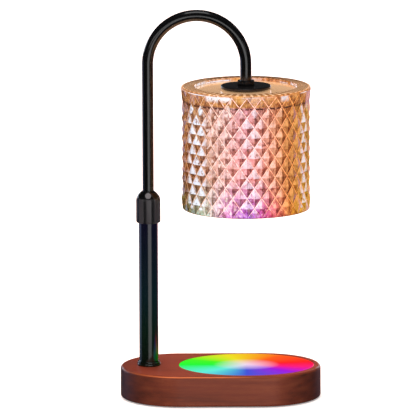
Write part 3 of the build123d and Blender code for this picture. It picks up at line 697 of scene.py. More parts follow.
def top_tint(tree, around, parts, fleck):
    """The recess on top is plain and pale, and the ring round it is painted with flutes where the diamonds
    below show through, darker towards the back.
    """
    turn = add_node(tree, "Math", parts.outputs["Y"], parts.outputs["X"], operation="ARCTAN2")
    turn = add_node(tree, "Math", turn, LAMP_OT_glass_shade.columns, operation="MULTIPLY")
    flutes = add_node(tree, "Math", turn, operation="SINE")
    flutes = add_node(tree, "Math", flutes, fleck, operation="ADD")
    fluted = add_node(
        tree, "ValToRGB", flutes, marks=((0.0, "#A87C48"), (0.35, "#DCB67E"), (0.7, "#FFE8C0"))
    )
    backward = add_node(tree, "Math", parts.outputs["Y"], 0.5, 0.5, operation="MULTIPLY_ADD")
    darker_behind = add_node(tree, "ValToRGB", backward, marks=((0.6, "#FFFFFF"), (0.95, "#98886C")))
    fluted = add_node(tree, "Mix", 1.0, fluted, darker_behind, data_type="RGBA", blend_type="MULTIPLY")
    level = add_node(tree, "VectorMath", around, (1, 1, 0), operation="MULTIPLY")
    distance = add_node(tree, "VectorMath", level, operation="LENGTH")
    past_recess = add_node(tree, "ValToRGB", distance, marks=((0.77, "#000000"), (0.79, "#FFFFFF")))
    return add_node(tree, "Mix", past_recess, "#F4D8AC", fluted, data_type="RGBA")


def amber_glass(name, **finish):
    """Pressed soda-lime glass, lustred golden amber, with painted light: a painted salmon pink glow where
    the bulb stands behind it, the coloured plate's light painted at the foot, painted shading on each
    facet by which way it leans, and painted splinters where the light bends inside."""
    material, tree = new_material(name)
    height = high("glass_shade").z - low("glass_shade").z
    around = about_lamp(tree, half_width("glass_shade"), height)
    parts = add_node(tree, "SeparateXYZ", around)
    across = add_node(tree, "Math", parts.outputs["X"], 0.5, 0.5, operation="MULTIPLY_ADD")
    rise = parts.outputs["Z"]
    facing = add_node(tree, "TexCoord").outputs["Normal"]
    upward = add_node(tree, "SeparateXYZ", facing).outputs["Z"]
    on_facet = add_node(tree, "Math", upward, 0.4, operation="LESS_THAN")
    facet_up = add_node(tree, "Math", upward, on_facet, operation="MULTIPLY")
    chances, fleck = broken_light(tree)
    tone = painted_facet_shading(tree, around, facing, facet_up, chances, fleck)

    tint = glass_tint_and_painted_glow(tree, across, rise)
    tint = toned(tree, tint, across, tone, chances)
    tint = crown_with_painted_hot_spot(tree, tint, across, rise, chances)
    # Painted glints and crown highlights, only on the facets, mixed in pale blue white
    glint = glints(tree, across, facet_up, fleck)
    patch = crown_painted_highlights(tree, across, rise, tone)
    glint = add_node(tree, "Mix", 1.0, glint, patch, data_type="RGBA", blend_type="LIGHTEN")
    glint = add_node(tree, "Mix", on_facet, "#000000", glint, data_type="RGBA")
    tint = add_node(tree, "Mix", glint, tint, "#D0DCEC", data_type="RGBA")
    level_top = add_node(tree, "Math", upward, 0.9, operation="GREATER_THAN")
    on_top = top_tint(tree, around, parts, fleck)
    tint = add_node(tree, "Mix", level_top, tint, on_top, data_type="RGBA")

    # A painted glow, as emission, everywhere on the glass, stronger on top and in the painted glints
    strength = add_node(tree, "Mix", level_top, "#847C78", "#B4A49C", data_type="RGBA")
    glow = add_node(tree, "Mix", 1.0, tint, strength, data_type="RGBA", blend_type="MULTIPLY")
    glow = add_node(tree, "Mix", glint, glow, "#A0ACB8", data_type="RGBA")
    shader = add_node(
        tree, "BsdfPrincipled", Base_Color=tint, IOR=1.5, Transmission_Weight=0.5,
        Emission_Color=glow, Emission_Strength=1.0, **finish,
    )
    add_node(tree, "OutputMaterial", shader)
    return material


def cut_line():
    """The bottom of each cut, satin, with a painted highlight line that glows by emission, pinkish white
    to the left and over the bulb, and golden to the right."""
    material, tree = new_material("satin_cut_painted_highlight")
    parts = add_node(tree, "SeparateXYZ", about_lamp(tree, half_width("glass_shade"), 1))
    across = add_node(tree, "Math", parts.outputs["X"], 0.5, 0.5, operation="MULTIPLY_ADD")
    tint = add_node(
        tree, "ValToRGB", across,
        marks=((0.0, "#B07838"), (0.14, "#C49C74"), (0.3, "#F4D8D0"), (0.55, "#FFDCDC"),
               (0.7, "#F8BC94"), (0.82, "#EC9C50"), (1.0, "#D09030")),
    )
    break_spot = on_object(tree, (2.6 * MM, 2.6 * MM, 3.6 * MM))
    breaks = add_node(tree, "TexNoise", break_spot, Scale=1.0, Detail=2.0)
    faded = add_node(tree, "ValToRGB", breaks, marks=((0.38, "#C89C88"), (0.54, "#FFFFFF")))
    tint = add_node(tree, "Mix", 0.9, tint, faded, data_type="RGBA", blend_type="MULTIPLY")
    glow = add_node(tree, "Mix", 1.0, tint, "#A8A09C", data_type="RGBA", blend_type="MULTIPLY")
    shader = add_node(
        tree, "BsdfPrincipled", Base_Color=tint, Roughness=0.45, IOR=1.5, Transmission_Weight=0.2,
        Emission_Color=glow, Emission_Strength=1.0,
    )
    add_node(tree, "OutputMaterial", shader)
    return material


def plate_glow():
    """Opal acrylic with a ring of coloured lamps behind its edge: each lamp's colour runs into
    the next round the plate, and all of them mix to a soft pink white in the middle."""
    material, tree = new_material("lit_opal_acrylic")
    half_size = (high("light_plate") - low("light_plate")) / 2
    centre = middle("light_plate")
    spot = on_object(tree, (half_size.x, half_size.y, 1), (centre.x, centre.y, 0))
    round_turn = add_node(tree, "TexGradient", spot, gradient_type="RADIAL").outputs["Fac"]
    # From the left (-X), by the front (-Y), the right and the back, to the left again
    ring = add_node(
        tree, "ValToRGB", round_turn,
        marks=((0.0, "#18F830"), (0.13, "#60F0DC"), (0.25, "#3C50D8"), (0.37, "#9A08E0"),
               (0.46, "#FF0878"), (0.54, "#FF1010"), (0.66, "#FF5A08"), (0.8, "#F0E018"),
               (0.92, "#40F818"), (1.0, "#18F830")),
    )
    distance = add_node(tree, "VectorMath", spot, operation="LENGTH")
    outwards = add_node(tree, "ValToRGB", distance, marks=((0.0, "#000000"), (0.5, "#FFFFFF")))
    glow = add_node(tree, "Mix", outwards, "#F4D8F0", ring, data_type="RGBA")
    shader = add_node(
        tree, "BsdfPrincipled", Base_Color="#0C0C0C", Roughness=0.3, IOR=1.49, Specular_IOR_Level=0.1,
        Emission_Color=glow, Emission_Strength=1.0,
    )
    add_node(tree, "OutputMaterial", shader)
    return material


def collar_plastic(colours):
    """Moulded black ABS, polished on the dome and in the flutes, which look black, and finished by spark
    erosion on the lands, which are rougher and painted dark grey as a painted sheen."""
    material, tree = new_material("moulded_black_abs")
    bottom = low("lock_collar").z
    height = high("lock_collar").z - bottom
    parts = add_node(tree, "SeparateXYZ", on_object(tree, (1, 1, height), (post_x, 0, bottom)))
    half_turn = radians(180 / LAMP_OT_lock_collar.lands)
    angle = add_node(tree, "Math", parts.outputs["Y"], parts.outputs["X"], operation="ARCTAN2")
    angle = add_node(tree, "Math", angle, radians(LAMP_OT_lock_collar.rib_angle), operation="SUBTRACT")
    from_rib = add_node(tree, "Math", angle, half_turn, operation="PINGPONG")
    from_rib = add_node(tree, "Math", from_rib, half_turn, operation="DIVIDE")
    eroded_and_painted_sheen = add_node(
        tree, "ValToRGB", from_rib,
        marks=((0.0, "#9C9C9C"), (0.14, "#707070"), (0.22, "#000000"), (0.33, "#000000"),
               (0.42, "#FFFFFF")),
    )
    below_dome = add_node(
        tree, "ValToRGB", parts.outputs["Z"], marks=((0.76, "#FFFFFF"), (0.8, "#000000"))
    )
    eroded_and_painted_sheen = add_node(tree, "Mix", 1.0, eroded_and_painted_sheen, below_dome, data_type="RGBA", blend_type="MULTIPLY")
    tint = add_node(tree, "Mix", eroded_and_painted_sheen, "#040405", colours.plastic, data_type="RGBA")
    dullness = add_node(tree, "MapRange", Value=eroded_and_painted_sheen, To_Min=0.12, To_Max=0.36)
    # Spark erosion leaves a fine even grain
    grain_spot = on_object(tree, (0.5 * MM, 0.5 * MM, 0.5 * MM))
    grain = add_node(tree, "TexNoise", grain_spot, Scale=1.0, Detail=2.0)
    grain = add_node(tree, "Math", grain, eroded_and_painted_sheen, operation="MULTIPLY")
    relief = add_node(tree, "Bump", Height=grain, Distance=0.015 * MM, Strength=1.0)
    shader = add_node(
        tree, "BsdfPrincipled", Base_Color=tint, Roughness=dullness, Normal=relief, IOR=1.53
    )
    add_node(tree, "OutputMaterial", shader)
    return material


def dichroic_mirror():
    """Pressed glass cup, fluted, with a dichroic mirror inside. What light leaks through is salmon
    pink, brightest where a flute is thin."""
    material, tree = new_material("dichroic_reflector")
    parts = add_node(tree, "SeparateXYZ", about_lamp(tree, half_width("bulb_reflector"), 1))
    turn = add_node(tree, "Math", parts.outputs["Y"], parts.outputs["X"], operation="ARCTAN2")
    turn = add_node(tree, "Math", turn, LAMP_OT_bulb.flutes, operation="MULTIPLY")
    flutes = add_node(tree, "Math", turn, operation="SINE")
    flutes = add_node(tree, "Math", flutes, 0.5, 0.5, operation="MULTIPLY_ADD")
    tint = add_node(
        tree, "ValToRGB", flutes, marks=((0.0, "#B86C5C"), (0.6, "#F0B8A0"), (1.0, "#FFE0C8"))
    )
    leaked = add_node(
        tree, "ValToRGB", flutes, marks=((0.0, "#D85C4C"), (0.6, "#FF8C70"), (1.0, "#FFB894"))
    )
    shader = add_node(
        tree, "BsdfPrincipled", Base_Color=tint, Metallic=0.6, Roughness=0.18, Emission_Color=leaked,
        Emission_Strength=0.9,
    )
    add_node(tree, "OutputMaterial", shader)
    return material


def front_glass():
    """Pressed front glass, pebbled to spread the beam. The burner shows large and white in the
    middle, and small in each pebble round it, down to amber at the rim."""
    material, tree = new_material("pebbled_front_glass")
    about = about_lamp(tree, half_width("bulb_reflector"), 1)
    level = add_node(tree, "VectorMath", about, (1, 1, 0), operation="MULTIPLY")
    distance = add_node(tree, "VectorMath", level, operation="LENGTH")
    beam = add_node(
        tree, "ValToRGB", distance,
        marks=((0.0, "#FFFFFF"), (0.22, "#FFF4DC"), (0.42, "#FFC880"), (0.8, "#E89858"), (1.0, "#B8643C")),
    )
    pebble_spot = on_object(tree, (3.4 * MM, 3.4 * MM, 3.4 * MM))
    pebbles = add_node(tree, "TexVoronoi", pebble_spot, feature="F1", Scale=1.0, Randomness=0.35)
    spots = add_node(
        tree, "ValToRGB", pebbles,
        marks=((0.0, "#FFFFFF"), (0.2, "#FFFFFF"), (0.34, "#D8C0A0"), (0.6, "#A87C50")),
    )
    # The middle is too bright for its pebbles to show
    past_middle = add_node(tree, "ValToRGB", distance, marks=((0.16, "#000000"), (0.36, "#FFFFFF")))
    spots = add_node(tree, "Mix", past_middle, "#FFFFFF", spots, data_type="RGBA")
    glow = add_node(tree, "Mix", 1.0, beam, spots, data_type="RGBA", blend_type="MULTIPLY")
    relief = add_node(tree, "Bump", Height=pebbles, Distance=-0.4 * MM, Strength=1.0)
    shader = add_node(
        tree, "BsdfPrincipled", Base_Color="#FFF4E0", Normal=relief, Roughness=0.1, IOR=1.5,
        Transmission_Weight=0.6, Emission_Color=glow, Emission_Strength=1.5,
    )
    add_node(tree, "OutputMaterial", shader)
    return material


def burning_capsule():
    """Quartz capsule of a halogen burner: clear, and far brighter than all round it."""
    material, tree = new_material("burning_capsule")
    shader = add_node(
        tree, "BsdfPrincipled", Base_Color="#FFF4E0", Roughness=0.1, Emission_Color="#FFD9A0",
        Emission_Strength=6.0,
    )
    add_node(tree, "OutputMaterial", shader)
    return material


finishes = {}


def make_finishes(sizes, colours):
    """Makes each finish once, by the name of what it is."""
    finishes.update(
        wood=stained_wood(sizes, colours),
        enamel=black_enamel(colours),
        glass=amber_glass(
            "lustred_amber_glass_painted_glow", Roughness=0.12, Coat_Weight=1.0, Coat_Roughness=0.03, Coat_IOR=1.6
        ),
        # The rim and foot of the same glass are duller, as the mould's parting line is ground there
        rim=amber_glass("ground_glass_rim", Roughness=0.4, Specular_IOR_Level=0.25),
        cut=cut_line(),
        glow=plate_glow(),
        plastic=collar_plastic(colours),
        mirror=dichroic_mirror(),
        lens=front_glass(),
        burner=burning_capsule(),
        # Polyester powder coat, satin: dark grey, with a fine leathery relief
        satin=grainy("satin_powder_coat", 0.7 * MM, 0.02 * MM, colours.satin, Roughness=0.24, IOR=1.5),
        # Moulded in a fine matt mould, so it has no clear highlight
        button=grainy("moulded_grey_abs", 0.4 * MM, 0.02 * MM, colours.button, Roughness=0.5, IOR=1.53),
        # Dense fibreboard, stained: dull, with felted fibres
        board=grainy("stained_fibreboard", 1.2 * MM, 0.08 * MM, linear("#3A2B25"), Roughness=0.75),
        # Moulded nitrile rubber: matt and slightly grey
        rubber=grainy("moulded_rubber", 0.6 * MM, 0.04 * MM, linear("#1C1C1D"), Roughness=0.7),
        # Sand-cast iron, painted: rough skin
        iron=grainy("painted_cast_iron", 1.5 * MM, 0.2 * MM, linear("#2C2D2F"), Roughness=0.6),
        # Plated, stamped or drawn metals: soft highlights, broken up by a fine worked surface
        zinc=metal("bright_zinc_plate", "#B4B6B8", 0.3, 0.8 * MM, 0.01 * MM),
        nickel=metal("satin_nickel_plate", "#D8D2C8", 0.28, 0.6 * MM, 0.01 * MM),
        brass=metal("stamped_brass", "#D8B060", 0.28, 0.6 * MM, 0.01 * MM),
        steel=metal("drawn_spring_steel", "#9C9C9E", 0.3, 0.5 * MM, 0.01 * MM),
        # Printed and moulded plastics: even, with a soft sheen
        mask=grainy("white_solder_mask", 0.5 * MM, 0.01 * MM, linear("#E8ECE6"), Roughness=0.35),
        epoxy=grainy("moulded_epoxy", 0.3 * MM, 0.01 * MM, linear("#26262A"), Roughness=0.5),
        resin=grainy("clear_lamp_resin", 0.5 * MM, 0.005 * MM, linear("#F2F2E6"), Roughness=0.2),
        nylon=grainy("natural_nylon", 0.6 * MM, 0.01 * MM, linear("#E4E0D2"), Roughness=0.45),
        # Fired and cast ceramics: pale and matt
        steatite=grainy("fired_steatite", 0.5 * MM, 0.02 * MM, linear("#EFE6DC"), Roughness=0.5),
        cement=grainy("lamp_cement", 0.4 * MM, 0.03 * MM, linear("#E8E0D6"), Roughness=0.6),
    )


def dress(finish, *names):
    """Gives CAD nodes a finish."""
    for name in names:
        for slot in cad_nodes[name].material_slots:
            slot.material = finishes[finish]


# ---------------------------------------------------------------- the base

class LAMP_OT_wooden_base(bpy.types.Operator):
    """Stained and lacquered wooden base"""

    bl_idname = "candle_lamp.wooden_base"
    bl_label = "Wooden Base"

    def execute(self, context):
        dress("wood", "base_body")
        return {"FINISHED"}


class LAMP_OT_underside(bpy.types.Operator):
    """Bottom cover, feet and screws"""

    bl_idname = "candle_lamp.underside"
    bl_label = "Underside"

    def execute(self, context):
        dress("board", "bottom_cover")
        # The two end screws lie on the base's long axis, the other four where its straight sides end
        end_x = high("cover_screws").x - screw_head
        side_y = high("cover_screws").y - screw_head
        straight_x = high("base_body").x - high("base_body").y
        places = [(-end_x, 0), (end_x, 0)]
        places += [(x, y) for x in (-straight_x, straight_x) for y in (-side_y, side_y)]
        countersunk_screws("cover_screws", "cover_screw_set", places)
        countersunk_screws("weight_screws", "weight_screw_set", corners("weight_screws", screw_head))
        self.add_feet()
        return {"FINISHED"}

    def add_feet(self):
        """Rubber feet with a rounded rim and a shallow dish, stuck on the cover."""
        radius = 7.0 * MM
        rounding = 0.7 * MM
        outline = [(radius, high("rubber_feet").z)]
        outline += arc(radius - rounding, rounding, rounding, 0, -90, 6)
        outline += [(4.2 * MM, 0), (3.9 * MM, 0.25 * MM), (1.0 * MM, 0.35 * MM)]
        foot = turned("rubber_foot_set", 0, outline, 64, ends="flat")
        repeated(foot, [(x, y, 0) for x, y in corners("rubber_feet", radius)])
        smooth(foot)
        place(foot, "stand", "rubber", "rubber", "rubber_feet")


class LAMP_OT_base_insides(bpy.types.Operator):
    """Counterweight, boards and what fastens them, inside the base"""

    bl_idname = "candle_lamp.base_insides"
    bl_label = "Base Insides"

    def execute(self, context):
        dress("iron", "counterweight")
        dress("mask", "led_board", "control_board")
        dress("resin", "leds")
        dress("epoxy", "control_parts")
        dress("brass", "board_standoffs")
        dress("zinc", "board_screws", "post_washer", "post_nut")
        dress("nylon", "control_pillars")
        self.add_gland()
        return {"FINISHED"}

    def add_gland(self):
        """A rubber grommet: a rounded flange outside the back wall, a sleeve and a lip inside it."""
        centre = middle("cable_gland")
        wall_face = high("base_body").y
        flange = high("cable_gland").y - wall_face
        flange_radius = half_width("cable_gland")
        sleeve_radius = 4.0 * MM
        lip_radius = 4.8 * MM
        lip_length = 1.5 * MM
        bore = 2.75 * MM
        outer_round = 1.2 * MM
        inner_round = 0.6 * MM
        inner_end = low("cable_gland").y - wall_face
        outline = [
            (bore, inner_end), (lip_radius - 0.5 * MM, inner_end), (lip_radius, inner_end + lip_length),
            (sleeve_radius, inner_end + lip_length), (sleeve_radius, 0), (flange_radius, 0),
        ]
        outline += arc(flange_radius - outer_round, flange - outer_round, outer_round, 0, 90, 6)
        outline += arc(bore + inner_round, flange - inner_round, inner_round, 90, 180, 4)
        gland = turned("cable_gland_grommet", 0, outline, 64)
        set_down(gland, (centre.x, wall_face, centre.z), facing_back)
        smooth(gland)
        place(gland, "stand", "rubber", "rubber", "cable_gland")


class LAMP_OT_light_plate(bpy.types.Operator):
    """Opal plate, lit in colours from below"""

    bl_idname = "candle_lamp.light_plate"
    bl_label = "Light Plate"

    def execute(self, context):
        dress("glow", "light_plate")
        return {"FINISHED"}


# ---------------------------------------------------------------- the post and neck

class LAMP_OT_post(bpy.types.Operator):
    """Lower tube with the ring at its foot and the collet in its mouth"""

    bl_idname = "candle_lamp.post"
    bl_label = "Post"

    def execute(self, context):
        dress("enamel", "lower_tube")
        dress("nylon", "collet")
        self.add_foot_ring()
        return {"FINISHED"}

    def add_foot_ring(self):
        """A pressed steel ring round the tube's foot, in two steps with rounded edges."""
        bottom = low("foot_ring").z
        top = high("foot_ring").z
        bore = half_width("lower_tube") + 0.05 * MM
        lower_radius = half_width("foot_ring")
        upper_radius = lower_radius - 0.6 * MM
        step_z = bottom + 2.6 * MM
        outline = [
            (bore, bottom), (lower_radius, bottom), (lower_radius, step_z - 0.5 * MM),
            (lower_radius - 0.25 * MM, step_z), (upper_radius, step_z), (upper_radius, top), (bore, top),
        ]
        ring = turned("foot_collar", post_x, outline, 96)
        round_rings(ring, post_x, [(upper_radius, top)], 0.5 * MM, 4)
        round_rings(ring, post_x, [(lower_radius, bottom)], 0.3 * MM)
        smooth(ring)
        place(ring, "stand", "black_enamel", "enamel", "foot_ring")


class LAMP_OT_lock_collar(bpy.types.Operator):
    """Fluted, domed collar with its lock button"""

    bl_idname = "candle_lamp.lock_collar"
    bl_label = "Lock Collar"

    segments = 360
    lands = 9
    rib_angle = -66.6
    flute_angle = 5.5
    # How far from the middle of a flute, in degrees, and that column's share of its depth
    flute_section = ((0, 1.0), (1, 0.88), (2, 0.5))
    bottom_round = 1.6 * MM
    throat = 6.0 * MM
    thread_relief = 7.8 * MM
    collet_cone = 9.05 * MM
    bore = 9.7 * MM
    dome_height = 10.0 * MM
    boss_radius = 3.7 * MM
    boss_chamfer = 0.35 * MM
    button_proud = 0.7 * MM
    pocket_floor = 7.1 * MM
    pocket_radius = 3.25 * MM
    pocket_depth = 1.6 * MM
    button_radius = 2.85 * MM
    button_gap = 0.05 * MM
    spring_bore = 2.0 * MM
    wire_radius = 0.2 * MM
    coil_turns = 4

    def execute(self, context):
        outline = self.collar_outline()
        half_column = 180 / self.segments
        first_column = radians(self.rib_angle + half_column - 90)
        collar = turned("fluted_collar", post_x, outline, self.segments, turn=first_column)
        # The last five points of the outline are inside
        self.cut_flutes(collar, outline[:-5], context.scene.lamp_sizes.flute_depth)
        self.cut_pocket(collar)
        smooth(collar, 35)
        place(collar, "twist_collar", "black_plastic", "plastic", "lock_collar")
        self.add_button()
        self.add_spring()
        return {"FINISHED"}

    def collar_outline(self):
        """Up the outside from the rounded foot, over the dome and down the bore."""
        outer = half_width("lock_collar")
        bottom = low("lock_collar").z
        dome_start = high("lower_tube").z + 9.7 * MM
        mouth = high("lower_tube").z + 2.3 * MM
        relief_z = high("collet").z + 0.3 * MM
        # The dome is an arc that leaves the wall upright and ends at the throat
        reach = outer - self.throat
        dome_radius = (reach ** 2 + self.dome_height ** 2) / (2 * reach)
        end_angle = degrees(atan2(self.dome_height, dome_radius - reach))
        outline = arc(outer - self.bottom_round, bottom + self.bottom_round, self.bottom_round, -90, 0, 5)
        outline += arc(outer - dome_radius, dome_start, dome_radius, 0, end_angle, 16)
        return outline + [
            (self.throat, relief_z), (self.thread_relief, relief_z), (self.collet_cone, mouth),
            (self.bore, mouth), (self.bore, bottom),
        ]

    def cut_flutes(self, collar, rings, depth):
        """A flute on each side of every rib, rounded in section, that runs out on the dome."""
        outer = half_width("lock_collar")
        pitch = 360 / self.lands
        begin_edit(collar)
        for offset, share in self.flute_section:
            floor = outer - share * depth
            for radius, z in rings:
                if radius <= floor:
                    continue

                def in_flute(vertex):
                    if abs(vertex.co.z - z) > 0.004 * MM:
                        return False
                    if abs(hypot(vertex.co.x - post_x, vertex.co.y) - radius) > 0.02 * MM:
                        return False
                    angle = degrees(atan2(vertex.co.y, vertex.co.x - post_x)) - self.rib_angle
                    from_rib = abs((angle + pitch / 2) % pitch - pitch / 2)
                    return abs(abs(from_rib - self.flute_angle) - offset) < 0.3

                if pick(collar, "VERT", in_flute):
                    widen(post_x, z, floor / radius)
        end_edit()

    def cut_pocket(self, collar):
        """A boss on the dome, and in it the button's pocket with a shoulder that holds the button."""
        middle_of_button = (post_x, 0, middle("lock_button").z)
        face = -low("lock_button").y - self.button_proud
        outline = [
            (self.boss_radius, self.pocket_floor), (self.boss_radius, face - self.boss_chamfer),
            (self.boss_radius - self.boss_chamfer, face),
        ]
        boss = turned("boss", 0, outline, 64, ends="flat")
        set_down(boss, middle_of_button, facing_front)
        boolean(collar, boss, "UNION")
        shoulder = self.pocket_floor + self.pocket_depth
        mouth_radius = self.button_radius + self.button_gap
        outline = [
            (self.pocket_radius, self.pocket_floor), (self.pocket_radius, shoulder),
            (mouth_radius, shoulder), (mouth_radius, 2 * half_width("lock_collar")),
        ]
        pocket = turned("pocket", 0, outline, 64, ends="flat")
        set_down(pocket, middle_of_button, facing_front)
        boolean(collar, pocket, "DIFFERENCE")

    def add_button(self):
        """A round cap with a shallow dish in its face, a snap rim, and a bore behind for its spring."""
        face = -low("lock_button").y
        back = -high("lock_button").y
        rim_radius = half_width("lock_button")
        rim_front = back + 0.5 * MM
        rounding = 0.3 * MM
        outline = [
            (self.spring_bore, back + 2.0 * MM), (self.spring_bore, back), (rim_radius, back),
            (rim_radius, rim_front), (self.button_radius, rim_front),
        ]
        outline += arc(self.button_radius - rounding, face - rounding, rounding, 0, 90, 4)
        outline += [(2.0 * MM, face), (1.5 * MM, face - 0.1 * MM), (0.6 * MM, face - 0.16 * MM)]
        button = turned("button_cap", 0, outline, 64, ends="flat")
        set_down(button, (post_x, 0, middle("lock_button").z), facing_front)
        smooth(button)
        place(button, "button", "grey_plastic", "button", "lock_button")

    def add_spring(self):
        """A coil of wire from the pocket's floor to the button."""
        back = high("button_spring").y
        spring_length = back - low("button_spring").y
        coil_radius = half_width("button_spring") - self.wire_radius
        spring = start_piece(
            "button_coil", bpy.ops.mesh.primitive_circle_add, vertices=10, radius=self.wire_radius,
            location=(coil_radius, 0, self.wire_radius), rotation=(pi / 2, 0, 0),
        )
        end_edit()
        wound = spring.modifiers.new("wound", "SCREW")
        wound.angle = 2 * pi
        wound.iterations = self.coil_turns
        wound.screw_offset = (spring_length - 2 * self.wire_radius) / self.coil_turns
        wound.steps = 28
        wound.render_steps = 28
        choose(spring)
        bpy.ops.object.modifier_apply(modifier=wound.name)
        begin_edit(spring)
        bpy.ops.mesh.select_all(action="SELECT")
        bpy.ops.mesh.fill_holes(sides=0)
        bpy.ops.mesh.select_all(action="SELECT")
        bpy.ops.mesh.normals_make_consistent(inside=False)
        end_edit()
        seat = (post_x, back, middle("button_spring").z)
        set_down(spring, seat, facing_front)
        smooth(spring, 50)
        place(spring, "twist_collar", "spring_steel", "steel", "button_spring")
        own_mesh(spring)


class LAMP_OT_neck(bpy.types.Operator):
    """Bent neck with its glide and clips"""

    bl_idname = "candle_lamp.neck"
    bl_label = "Neck"

    def execute(self, context):
        dress("enamel", "neck")
        dress("nylon", "neck_glide")
        dress("steel", "glide_clips")
        return {"FINISHED"}


# ---------------------------------------------------------------- the shade and lamp

class LAMP_OT_shade_clamp(bpy.types.Operator):
    """Nut, cap disc and gasket over the shade, and what clamps it from inside"""

    bl_idname = "candle_lamp.shade_clamp"
    bl_label = "Shade Clamp"

    def execute(self, context):
        sizes = context.scene.lamp_sizes
        hole = 5.05 * MM
        flat_ring("cap_disc", lamp_x, hole, 0.8 * MM, "black_satin", "satin", "swing_neck")
        flat_ring("top_gasket", lamp_x, hole, 0.3 * MM, "rubber", "rubber", "swing_neck")
        flat_ring("lower_gasket", lamp_x, hole, 0.5 * MM, "rubber", "rubber", "swing_neck")
        flat_ring("clamp_washer", lamp_x, hole, 0.3 * MM, "zinc_steel", "zinc", "swing_neck")
        hex_nut("neck_nut", hole, sizes.edge_round, "black_satin", "satin", "swing_neck")
        hex_nut("clamp_nut", hole, sizes.edge_round, "zinc_steel", "zinc", "swing_neck")
        return {"FINISHED"}


def open_ring(z):
    """A test for the open edges at a height."""
    slack = 0.5 * MM
    return lambda edge: edge.is_boundary and all(abs(v.co.z - z) < slack for v in edge.verts)


